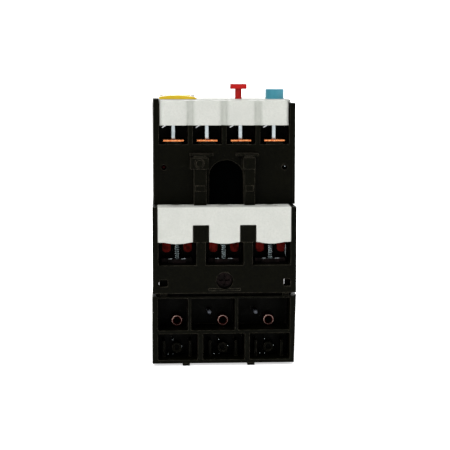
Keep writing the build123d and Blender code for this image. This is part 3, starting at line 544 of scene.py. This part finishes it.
def extruded(name, outline, y):
    """A closed prism of an outline in XZ, between the two values of y."""
    count = len(outline)
    verts = [(px, y[0], pz) for px, pz in outline] + [(px, y[1], pz) for px, pz in outline]
    faces = [tuple(range(count)), tuple(reversed(range(count, 2 * count)))]
    faces += [(k, (k + 1) % count, count + (k + 1) % count, count + k) for k in range(count)]
    return mesh_from(name, verts, faces)


# ---- Terminal screws ------------------------------------------------------------------------------

SCREW_R = 1.5
CORE_R = 1.18
AUX_SHAFT_R = 1.2
THREAD_PITCH = 0.6
THREAD_COLUMNS = 36
ROWS_PER_TURN = 8
CREST_GAIN = 1.15
VALLEY_SHARE = 0.35
TIP_SCALE = 0.72
TIP_LENGTH = 1.6
HEAD_HEIGHT = 2.1
SHAFT_DROP = 1.9
SLOT_HALF_WIDTH = 0.4
CROSS_HALF_WIDTH = 0.36
CROSS_HALF_LENGTH = 1.6
SLOT_DEPTH = 1.0


def plain_shaft(bottom, top):
    """A smooth shaft with a tapered tip, a little wider under its head."""
    profile = [(0, bottom), (AUX_SHAFT_R - 0.5, bottom), (AUX_SHAFT_R, bottom + 0.6),
               (AUX_SHAFT_R, top - 0.3), (AUX_SHAFT_R + 0.2, top), (0, top)]
    return turned("shaft", profile, columns=THREAD_COLUMNS)


def threaded_shaft(bottom, top):
    """A shaft with a helical thread down to the core radius, its tip tapered and painted shade in its
    valleys.
    """
    rows = int((top - bottom) / THREAD_PITCH * ROWS_PER_TURN)
    verts = [(0, 0, bottom * MM)]
    for row in range(rows + 1):
        z = bottom + (top - bottom) * row / rows
        tip = min(1.0, TIP_SCALE + (z - bottom) / TIP_LENGTH)
        for k in range(THREAD_COLUMNS):
            turn = k / THREAD_COLUMNS
            phase = ((z - bottom) / THREAD_PITCH - turn) % 1.0
            crest = 1 - abs(2 * phase - 1)
            radius = (CORE_R + (SCREW_R - CORE_R) * min(1.0, crest * CREST_GAIN)) * tip
            angle = 2 * math.pi * turn
            verts.append((radius * math.cos(angle) * MM, radius * math.sin(angle) * MM, z * MM))
    verts.append((0, 0, top * MM))
    faces = [(0, 1 + (k + 1) % THREAD_COLUMNS, 1 + k) for k in range(THREAD_COLUMNS)]
    for row in range(rows):
        first = 1 + row * THREAD_COLUMNS
        for k in range(THREAD_COLUMNS):
            j = (k + 1) % THREAD_COLUMNS
            faces.append((first + k, first + j, first + THREAD_COLUMNS + j, first + THREAD_COLUMNS + k))
    last = 1 + rows * THREAD_COLUMNS
    faces += [(last + k, last + (k + 1) % THREAD_COLUMNS, len(verts) - 1) for k in range(THREAD_COLUMNS)]
    shaft = mesh_from("shaft", verts, faces)
    # Painted shade: faces in the thread's valleys take the second, near-black paint.
    valley = (CORE_R + VALLEY_SHARE * (SCREW_R - CORE_R)) * MM
    for polygon in shaft.polygons:
        if math.hypot(polygon.center.x, polygon.center.y) < valley:
            polygon.material_index = 1
    return shaft


def screw_head(bottom, radius, height):
    """A pan head with a combined slot and cross."""
    profile = [(0, 0), (radius - 0.12, 0), (radius, 0.12), (radius, height - 0.75),
               (radius - 0.12, height - 0.42), (radius - 0.45, height - 0.18), (radius - 1.0, height - 0.04),
               (0, height)]
    head = turned("head", [(r, bottom + z) for r, z in profile])
    floor = (bottom + height - SLOT_DEPTH) * MM
    lid = (bottom + height + 1) * MM
    slot_x, slot_y = SLOT_HALF_WIDTH * MM, 2 * radius * MM
    cross_x, cross_y = CROSS_HALF_LENGTH * MM, CROSS_HALF_WIDTH * MM
    return cut(head, ((-slot_x, -slot_y, floor), (slot_x, slot_y, lid)),
               ((-cross_x, -cross_y, floor), (cross_x, cross_y, lid)))


def make_terminal_screws():
    """One screw of each kind, copied to the place of every CAD screw of that kind."""
    for kind, count in (("load", 3), ("line", 3), ("aux", 4)):
        paint = "smooth_zinc" if kind == "aux" else "dull_zinc"
        low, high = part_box(f"{kind}_screw_1")
        head_radius = (high.x - low.x) / 2 / MM - 0.01
        top = high.z / MM
        if kind == "aux":
            shaft = plain_shaft(low.z / MM, top - SHAFT_DROP)
        else:
            shaft = threaded_shaft(low.z / MM, top - SHAFT_DROP)
        pattern = joined("screw", shaft, screw_head(top - HEAD_HEIGHT, head_radius, HEAD_HEIGHT))
        for number in range(1, count + 1):
            node = f"{kind}_screw_{number}"
            low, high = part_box(node)
            mesh = pattern.copy()
            mesh.transform(Matrix.Translation(((low.x + high.x) / 2, (low.y + high.y) / 2, 0)))
            # The second paint is the painted shade in the thread valleys.
            place(node + "_threaded", mesh, body_of[node], slot_of[node], node, paint=paint,
                  second="dark_steel")


# ---- Terminal clamps and plates -------------------------------------------------------------------

LUG_DROP = 1.0
LUG_THICKNESS = 0.28
LUG_DEPTH = 0.35
LUG_GAP = 0.02

TONGUE_HEIGHT = 1.5
TEETH = (-2.6, -2.15, -1.75, 1.5, 1.9, 2.3, 2.65)
TOOTH_HALF_WIDTH = 0.08
TOOTH_HEIGHT = 0.17
TOOTH_DEPTH = 0.3
TOOTH_SETBACK = 0.03


def make_aux_clamps():
    """Square washers, each with a lug bent down at its left front corner."""
    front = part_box("aux_terminal_plates")[0].y - LUG_GAP * MM
    lug_back = front - LUG_DEPTH * MM
    thickness = LUG_THICKNESS * MM
    for number in range(1, 5):
        node = f"aux_clamp_{number}"
        low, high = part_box(node)
        rounded(node, width=0.12)
        tongue = [
            (low.x + 1.75 * MM, low.z + 0.1 * MM),
            (low.x - 0.1 * MM, low.z - LUG_DROP * MM),
            (low.x - 0.1 * MM - thickness * 0.5, low.z - LUG_DROP * MM + thickness),
            (low.x + 1.55 * MM, low.z + 0.1 * MM + thickness),
        ]
        root = [
            (low.x + 1.0 * MM, low.z + 0.15 * MM),
            (low.x + 1.9 * MM, low.z + 0.15 * MM),
            (low.x + 1.9 * MM, high.z - 0.15 * MM),
            (low.x + 1.0 * MM, high.z - 0.15 * MM),
        ]
        lug = joined("lug", extruded("tongue", tongue, (lug_back, front)),
                     extruded("root", root, (lug_back, low.y + 0.2 * MM)))
        place(f"aux_clamp_lug_{number}", lug, body_of[node], slot_of[node])


def make_serrations(side, name):
    """Short teeth on the tongue of each main terminal plate, either side of its screw."""
    low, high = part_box(f"{name}_terminal_plates")
    top = low.z + TONGUE_HEIGHT * MM
    front = low.y if side < 0 else high.y
    meshes = []
    for number in range(1, 4):
        screw_low, screw_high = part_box(f"{name}_screw_{number}")
        middle = (screw_low.x + screw_high.x) / 2
        for count, offset in enumerate(TEETH):
            x = middle + offset * MM
            half = (TOOTH_HALF_WIDTH + 0.05 * (count % 2)) * MM
            peak = top + (TOOTH_HEIGHT + 0.05 * (count % 3)) * MM
            depth = TOOTH_DEPTH + 0.02 * (count % 3)
            outline = [(x - half, top - 0.02 * MM), (x + half, top - 0.02 * MM), (x + half * 0.4, peak),
                       (x - half * 0.4, peak)]
            ends = sorted((front - side * TOOTH_SETBACK * MM, front - side * depth * MM))
            meshes.append(extruded("tooth", outline, ends))
    whole = joined("serrations", *meshes)
    place(f"{name}_plate_serrations", whole, "root", "zinc_steel", paint="smooth_zinc")


PAINT_OF = {
    # Painted shade: the terminal plates take the near-black steel, while their own teeth are bright zinc.
    "load_terminal_plates": "dark_steel",
    "line_terminal_plates": "dark_steel",
    "rail_slider": "black_plastic",
    # Painted shade: the copper sockets take the dark copper, so that only their bright copper rims look lit.
    "pole_sockets": "copper_saddle",
}


def paint_cad():
    """Every CAD node gets the material of its slot, but for the few that look otherwise."""
    for node, shown in frame["nodes"].items():
        shown.data.materials.clear()
        shown.data.materials.append(paints[PAINT_OF.get(node, slot_of[node])])


# ---- Small parts seen in the openings -------------------------------------------------------------

# The base's pockets: how far behind its front their pins stand, and the pins' lengths.
POCKET_DEPTH = 11.5
LOCATION_PIN_LENGTH = 6.0
CONTACT_PIN_LENGTH = 6.4
LOCATION_PIN_R = 0.64
LOCATION_PINS = ((-4.35, 16.2), (10.55, 16.1))
# Each pole's small pins: place beside the pole's middle, height and radius.
CONTACT_PINS = ((-1.4, 7.5, 0.2), (1.5, 5.4, 0.16), (-2.9, 2.8, 0.2), (-1.3, 2.8, 0.15))

SOCKET_RIM = [(1.36, 0.02), (1.39, -0.02), (1.43, -0.05), (1.56, -0.05), (1.61, -0.02), (1.64, 0.02),
              (1.36, 0.02)]
SOCKET_AXIS = 1.7

WINDOW_SILL = 26.7
WELL_WIRE_TOP = 38.6
WELL_WIRE_INSET = 2.0

# The two small holes of the upper wall: name, place across, height, radius and paint of what is in them.
HOLE_RIVETS = (("hole_rivet_left", -18.75, 62.8, 0.7, "dark_rivet"),
               ("hole_rivet_right", 19.75, 62.95, 0.26, "dull_zinc"))
HOLE_RIVET_ENDS = (-32.3, -31.2)


def pin(name, x, y, z, radius, paint, slot="zinc_steel"):
    """A domed pin along Y, between the two values of y, its dome on the load side. All in millimetres."""
    length = y[1] - y[0]
    profile = [(0, 0), (radius * 0.92, 0), (radius, 0.1), (radius, length - radius * 0.6)]
    profile += [(radius * math.cos(a), length - radius * 0.6 * (1 - math.sin(a))) for a in (0.5, 1.0, 1.35)]
    profile.append((0, length))
    mesh = turned(name, profile, columns=20)
    mesh.transform(Matrix.Translation(Vector((x, y[1], z)) * MM) @ Matrix.Rotation(math.radians(90), 4, "X"))
    place(name, mesh, "root", slot, paint=paint)


def make_socket_rims():
    """Thin rolled rims on the front ends of the copper sockets."""
    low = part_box("pole_sockets")[0]
    rims = []
    for number in range(1, 4):
        screw_low, screw_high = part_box(f"load_screw_{number}")
        rim = turned("rim", SOCKET_RIM, columns=36)
        middle = Vector(((screw_low.x + screw_high.x) / 2, low.y, low.z + SOCKET_AXIS * MM))
        rim.transform(Matrix.Translation(middle) @ Matrix.Rotation(math.radians(-90), 4, "X"))
        rims.append(rim)
    place("socket_rims", joined("rims", *rims), "root", "copper")


def make_pocket_pins():
    """The pins in the base's upper and lower pockets."""
    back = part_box("base_housing")[0].y / MM + POCKET_DEPTH
    for number, (x, z) in enumerate(LOCATION_PINS, 1):
        pin(f"location_pin_{number}", x, (back - LOCATION_PIN_LENGTH, back), z, LOCATION_PIN_R, "pin_grey",
            "grey_plastic")
    for pole in range(1, 4):
        low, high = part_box(f"load_screw_{pole}")
        middle = (low.x + high.x) / 2 / MM
        for number, (x, z, radius) in enumerate(CONTACT_PINS, 1):
            pin(f"contact_pin_{pole}_{number}", middle + x, (back - CONTACT_PIN_LENGTH, back), z, radius,
                "dull_zinc")


def make_latch_edges():
    """The bright edges of the latch hooks' springs, in the windows at the band's ends."""
    hooks_low, hooks_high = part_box("latch_hooks")
    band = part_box("pole_housing")[0].y
    edges = ((hooks_low.x - 0.35 * MM, 0.9), (hooks_high.x - 2.0 * MM, 1.7))
    for number, (x, height) in enumerate(edges, 1):
        outline = [
            (x - 0.06 * MM, (WINDOW_SILL + 0.1) * MM),
            (x + 0.06 * MM, WINDOW_SILL * MM),
            (x + 0.07 * MM, (WINDOW_SILL + height) * MM),
            (x - 0.04 * MM, (WINDOW_SILL - 0.1 + height) * MM),
        ]
        blade = extruded("blade", outline, (band - 0.02 * MM, band + 1.0 * MM))
        place(f"latch_spring_edge_{number}", blade, "root", "spring_steel")


def make_well_wire():
    """The bent wire end at the right of the right-hand terminal's well."""
    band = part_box("pole_housing")[0].y
    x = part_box("load_screw_3")[1].x + WELL_WIRE_INSET * MM
    outline = [
        (x, WELL_WIRE_TOP * MM),
        (x - 0.06 * MM, WELL_WIRE_TOP * MM),
        (x - 0.16 * MM, (WELL_WIRE_TOP - 2.4) * MM),
        (x + 0.1 * MM, (WELL_WIRE_TOP - 3.8) * MM),
        (x - 0.08 * MM, (WELL_WIRE_TOP - 2.4) * MM),
    ]
    wire = extruded("wire", outline, (band + 4.6 * MM, band + 5.0 * MM))
    place("well_wire", wire, "root", "spring_steel", paint="smooth_zinc")


def make_hole_rivets():
    """What glints inside the two small holes of the upper wall."""
    for name, x, z, radius, paint in HOLE_RIVETS:
        pin(name, x, HOLE_RIVET_ENDS, z, radius, paint)


# ---- Buttons, dial cover and scale ----------------------------------------------------------------

STEM_R = 1.0
STEM_COLLAR_R = 1.8
STEM_COLLAR = (80.4, 81.0)
STEM_NECK = 82.6
CAP_HEIGHT = 1.42
CAP_OVERLAP = 0.22
CAP_EDGE = 0.12

RESET_BORE_R = 2.1
RESET_BORE_PLAY = 0.15
RESET_GROWTH = 0.06
RESET_SLOT_HALF = (2.2, 0.4)
RESET_SLOT_DEPTH = 0.6

COVER_STEPS = 24
COVER_CREST = 0.42
COVER_LEFT, COVER_TOP, COVER_RIGHT = 0.72, 1.28, 0.40
COVER_LIP = 0.25
COVER_HINGE_GAP = 0.35
COVER_SIDE_FALL = 0.05
BARREL_R = 0.62
BARREL_INSET = 3.2

PLATE_TOP = 84.0
DIAL_TICKS = 9
FIRST_TICK_ANGLE = 210
TICK_ANGLE = 30
TICK_GAP = 0.2
TICK_LENGTHS = (0.9, 0.55)
TICK_OUTLINE = ((-0.06, 0), (0.06, 0), (0.05, 0.03), (-0.05, 0.03))


def make_test_button():
    """The T-shaped button: a stem with a collar for its spring, and a flat cap."""
    low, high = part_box("test_button")
    middle = (low + high) / 2
    bottom, top = low.z / MM, high.z / MM
    neck_top = top - CAP_HEIGHT + CAP_OVERLAP
    stem = turned("stem", [
        (0, bottom), (STEM_R - 0.1, bottom), (STEM_R, bottom + 0.2), (STEM_R, STEM_COLLAR[0]),
        (STEM_COLLAR_R, STEM_COLLAR[0]), (STEM_COLLAR_R, STEM_COLLAR[1]), (STEM_R, STEM_COLLAR[1]),
        (STEM_R, STEM_NECK), (STEM_R + 0.1, STEM_NECK + 0.2), (STEM_R + 0.1, neck_top), (0, neck_top)])
    stem.transform(Matrix.Translation((middle.x, middle.y, 0)))
    half = (high.x - low.x) / 2
    depth = (high.y - low.y) / 2
    underside = high.z - CAP_HEIGHT * MM
    outline = [(middle.x - half, underside), (middle.x + half, underside), (middle.x + half, high.z),
               (middle.x - half, high.z)]
    cap = extruded("cap", outline, (middle.y - depth, middle.y + depth))
    work = bmesh.new()
    work.from_mesh(cap)
    bmesh.ops.bevel(work, geom=work.edges[:], offset=CAP_EDGE * MM, segments=2, profile=0.5, affect="EDGES")
    work.to_mesh(cap)
    work.free()
    place("test_button_moulding", joined("button", stem, cap), body_of["test_button"],
          slot_of["test_button"], "test_button")


def make_reset_button():
    """The round button with its blind bore for the plunger and a screwdriver slot in its top."""
    low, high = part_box("reset_button")
    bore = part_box("reset_plunger")[1].z / MM + RESET_BORE_PLAY
    radius = (high.x - low.x) / 2 / MM + RESET_GROWTH
    bottom, top = low.z / MM, high.z / MM
    profile = [(0, bore), (RESET_BORE_R, bore), (RESET_BORE_R, bottom), (radius - 0.1, bottom),
               (radius, bottom + 0.1), (radius, top - 0.1), (radius - 0.1, top), (0, top)]
    body = turned("reset", profile, columns=64)
    half_x, half_y = (side * MM for side in RESET_SLOT_HALF)
    body = cut(body, ((-half_x, -half_y, (top - RESET_SLOT_DEPTH) * MM), (half_x, half_y, (top + 1) * MM)))
    middle = (low + high) / 2
    body.transform(Matrix.Translation((middle.x, middle.y, 0)))
    place("reset_button_moulding", body, body_of["reset_button"], slot_of["reset_button"], "reset_button")


def cover_height(u):
    """Thickness of the cover in millimetres, at u from its left end (0) to its tapered right end (1)."""
    if u < COVER_CREST:
        return COVER_LEFT + (COVER_TOP - COVER_LEFT) * math.sin(math.pi / 2 * u / COVER_CREST) ** 0.8
    fall = max(0.0, math.cos(math.pi / 2 * (u - COVER_CREST) / (1 - COVER_CREST)))
    return COVER_RIGHT + (COVER_TOP - COVER_RIGHT) * fall ** 0.6


def make_dial_cover():
    """The clear cover: flat below, domed above, with the hinge barrel along its back edge."""
    low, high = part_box("dial_cover")
    pin_low, pin_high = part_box("dial_cover_pin")
    left, right = low.x - COVER_LIP * MM, high.x
    front, back = low.y, pin_low.y - COVER_HINGE_GAP * MM
    verts = []
    for row in range(COVER_STEPS + 1):
        u = row / COVER_STEPS
        for column in range(COVER_STEPS + 1):
            v = column / COVER_STEPS
            fall = 1 - COVER_SIDE_FALL * abs(2 * v - 1) ** 3
            x, y = left + (right - left) * u, front + (back - front) * v
            verts.append((x, y, low.z + cover_height(u) * fall * MM))
    count = len(verts)
    verts += [(x, y, low.z) for x, y, _ in verts]
    width = COVER_STEPS + 1
    faces = []
    for row in range(COVER_STEPS):
        for column in range(COVER_STEPS):
            a = row * width + column
            faces.append((a, a + width, a + width + 1, a + 1))
            faces.append((count + a, count + a + 1, count + a + width + 1, count + a + width))
    rim = list(range(width)) + [row * width + COVER_STEPS for row in range(1, width)]
    rim += [COVER_STEPS * width + column for column in range(COVER_STEPS - 1, -1, -1)]
    rim += [row * width for row in range(COVER_STEPS - 1, 0, -1)]
    for here, following in zip(rim, rim[1:] + rim[:1]):
        faces.append((here, following, count + following, count + here))
    slab = mesh_from("slab", verts, faces)
    axis = (pin_low + pin_high) / 2
    length = (high.x - low.x) / MM - BARREL_INSET
    profile = [(0, 0), (BARREL_R - 0.12, 0), (BARREL_R, 0.12), (BARREL_R, length - 0.12),
               (BARREL_R - 0.12, length), (0, length)]
    barrel = turned("barrel", profile, columns=28)
    barrel.transform(Matrix.Translation((axis.x - length / 2 * MM, axis.y, axis.z))
                     @ Matrix.Rotation(math.radians(90), 4, "Y"))
    place("dial_cover_moulding", joined("cover", slab, barrel), body_of["dial_cover"], slot_of["dial_cover"],
          "dial_cover")


def make_dial_scale():
    """Ticks round the setting dial, printed on the front plate."""
    low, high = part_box("setting_dial")
    middle = (low + high) / 2
    inner = (high.x - low.x) / 2 / MM + TICK_GAP
    outline = [(x * MM, z * MM) for x, z in TICK_OUTLINE]
    marks = []
    for tick in range(DIAL_TICKS):
        angle = math.radians(FIRST_TICK_ANGLE - TICK_ANGLE * tick)
        length = TICK_LENGTHS[tick % 2]
        bar = extruded("tick", outline, (inner * MM, (inner + length) * MM))
        bar.transform(Matrix.Translation((middle.x, middle.y, PLATE_TOP * MM))
                      @ Matrix.Rotation(angle - math.pi / 2, 4, "Z"))
        marks.append(bar)
    place("dial_ticks", joined("ticks", *marks), "root", "black_plastic")


# ---- Return springs -------------------------------------------------------------------------------

# Each spring's node, the body that pushes its moving end and the axis it lies along.
SPRINGS = (("test_spring", "test_button", "z"), ("reset_spring", "reset_plunger", "z"),
           ("rail_spring", "rail_slider", "y"))


def make_springs():
    """Copies of the return springs, shown in place of the CAD springs."""
    for node, pushed, axis in SPRINGS:
        low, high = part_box(node)
        start = (low + high) / 2
        end = start.copy()
        setattr(start, axis, getattr(low, axis))
        setattr(end, axis, getattr(high, axis))
        mesh = frame["nodes"][node].data.copy()
        spring = bpy.data.objects.new(node + "_wound", mesh)
        bpy.context.scene.collection.objects.link(spring)
        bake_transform(spring)
        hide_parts(node)


# ---- Reshaped copies of CAD nodes -----------------------------------------------------------------

LINE_BLOCK_HALF_WIDTH = 21.35

WALL_SPLAY = 0.62
WALL_EDGE = 0.25
ARCH_MIDDLE = 1.0
ARCH_HALF_WIDTH = 5.5
ARCH_TOP = 65.2
RECESS_FRONT = -32.95
RECESS_DEPTH = 1.4

BASE_SIDE = 22.0
RIM_DROP = 9.1
RIM_LIFT = 0.3
RIGHT_LEAN = 0.6
LEAN_START = 10.0
LEAN_HEIGHT = 12.0
LEFT_FRONT_OUT = 0.3
LEFT_BACK_IN = 1.3

POLE_SIDE = 22.3
POLE_TAPER = 0.65

PLATE_EDGE = -20
PLATE_THINNING = 0.28

GUARD_RIGHT_END = 20.3
GUARD_RIGHT_TRIM = 0.45
GUARD_LEFT_END = -19.5
GUARD_LEFT_TRIM = 0.12


def narrowed(mesh):
    """Draws the sides of the supply-side block in, as they taper from the base."""
    limit = LINE_BLOCK_HALF_WIDTH * MM
    for vertex in mesh.vertices:
        vertex.co.x = max(-limit, min(limit, vertex.co.x))


def splayed(mesh):
    """Sets the right side wall a little further out, and puts painted shade on the arched recess."""
    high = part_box("mechanism_housing")[1]
    for vertex in mesh.vertices:
        if vertex.co.x > high.x - WALL_EDGE * MM:
            vertex.co.x += WALL_SPLAY * MM
    # Faces in the arched recess take the second paint, painted shade.
    for polygon in mesh.polygons:
        centre = polygon.center / MM
        under_arch = abs(centre.x - ARCH_MIDDLE) < ARCH_HALF_WIDTH and centre.z < ARCH_TOP
        if under_arch and RECESS_FRONT < centre.y < RECESS_FRONT + RECESS_DEPTH:
            polygon.material_index = 1


def flared(mesh):
    """Leans the base's sides, the right one out towards its top and the left one in towards the back, and
    lifts the right one's rim."""
    low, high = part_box("base_housing")
    side = BASE_SIDE * MM
    for vertex in mesh.vertices:
        if vertex.co.x > side and vertex.co.z > high.z - RIM_DROP * MM:
            vertex.co.z += RIM_LIFT * MM
        if vertex.co.x > side:
            share = max(0.0, min(1.0, (vertex.co.z / MM - LEAN_START) / LEAN_HEIGHT))
            vertex.co.x += RIGHT_LEAN * MM * share
        if vertex.co.x < -side:
            share = (vertex.co.y - low.y) / (high.y - low.y)
            vertex.co.x -= (LEFT_FRONT_OUT - LEFT_BACK_IN * share) * MM


def tapered(mesh):
    """Draws the lower housing's sides in towards its back."""
    low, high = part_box("pole_housing")
    for vertex in mesh.vertices:
        if abs(vertex.co.x) > POLE_SIDE * MM:
            inward = POLE_TAPER * MM * (vertex.co.y - low.y) / (high.y - low.y)
            vertex.co.x -= math.copysign(inward, vertex.co.x)


def thinned(mesh):
    """Takes the underside of the auxiliary plates up, so that their front edges are thinner."""
    low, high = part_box("aux_terminal_plates")
    for vertex in mesh.vertices:
        if vertex.co.z < (low.z + high.z) / 2 and vertex.co.y < PLATE_EDGE * MM:
            vertex.co.z += PLATE_THINNING * MM


def trimmed(mesh):
    """Leaves a little more room between the auxiliary guard's ends and the side walls."""
    for vertex in mesh.vertices:
        if vertex.co.x > GUARD_RIGHT_END * MM:
            vertex.co.x -= GUARD_RIGHT_TRIM * MM
        if vertex.co.x < GUARD_LEFT_END * MM:
            vertex.co.x += GUARD_LEFT_TRIM * MM


def copied(node, reshape):
    """A reshaped copy of a CAD node as it is, which replaces the node."""
    mesh = frame["nodes"][node].data.copy()
    reshape(mesh)
    return place(node + "_moulding", mesh, body_of[node], slot_of[node], node, smoothed=True)


# ---- Assembly -------------------------------------------------------------------------------------

make_camera()
make_lights()
make_floor()
paint_cad()
rounded("front_plate")
rounded("base_housing", reshape=flared)
copied("pole_housing", tapered)
rounded("line_terminal_block", reshape=narrowed)
rounded("mechanism_housing", second="shaded_black", reshape=splayed)
rounded("aux_terminal_plates", width=0.2, segments=2, reshape=thinned)
for guard in ("load_shroud", "line_shroud"):
    rounded(guard, width=0.3, segments=3, limited=False)
rounded("aux_shroud", width=0.3, segments=3, limited=False, paint="groove_shaded_white", reshape=trimmed)
for kind in ("load", "line"):
    for number in range(1, 4):
        rounded(f"{kind}_clamp_{number}", width=0.15)
make_terminal_screws()
make_aux_clamps()
make_serrations(-1, "load")
make_serrations(1, "line")
make_socket_rims()
make_pocket_pins()
make_latch_edges()
make_well_wire()
make_hole_rivets()
make_springs()
make_test_button()
make_reset_button()
make_dial_cover()
make_dial_scale()
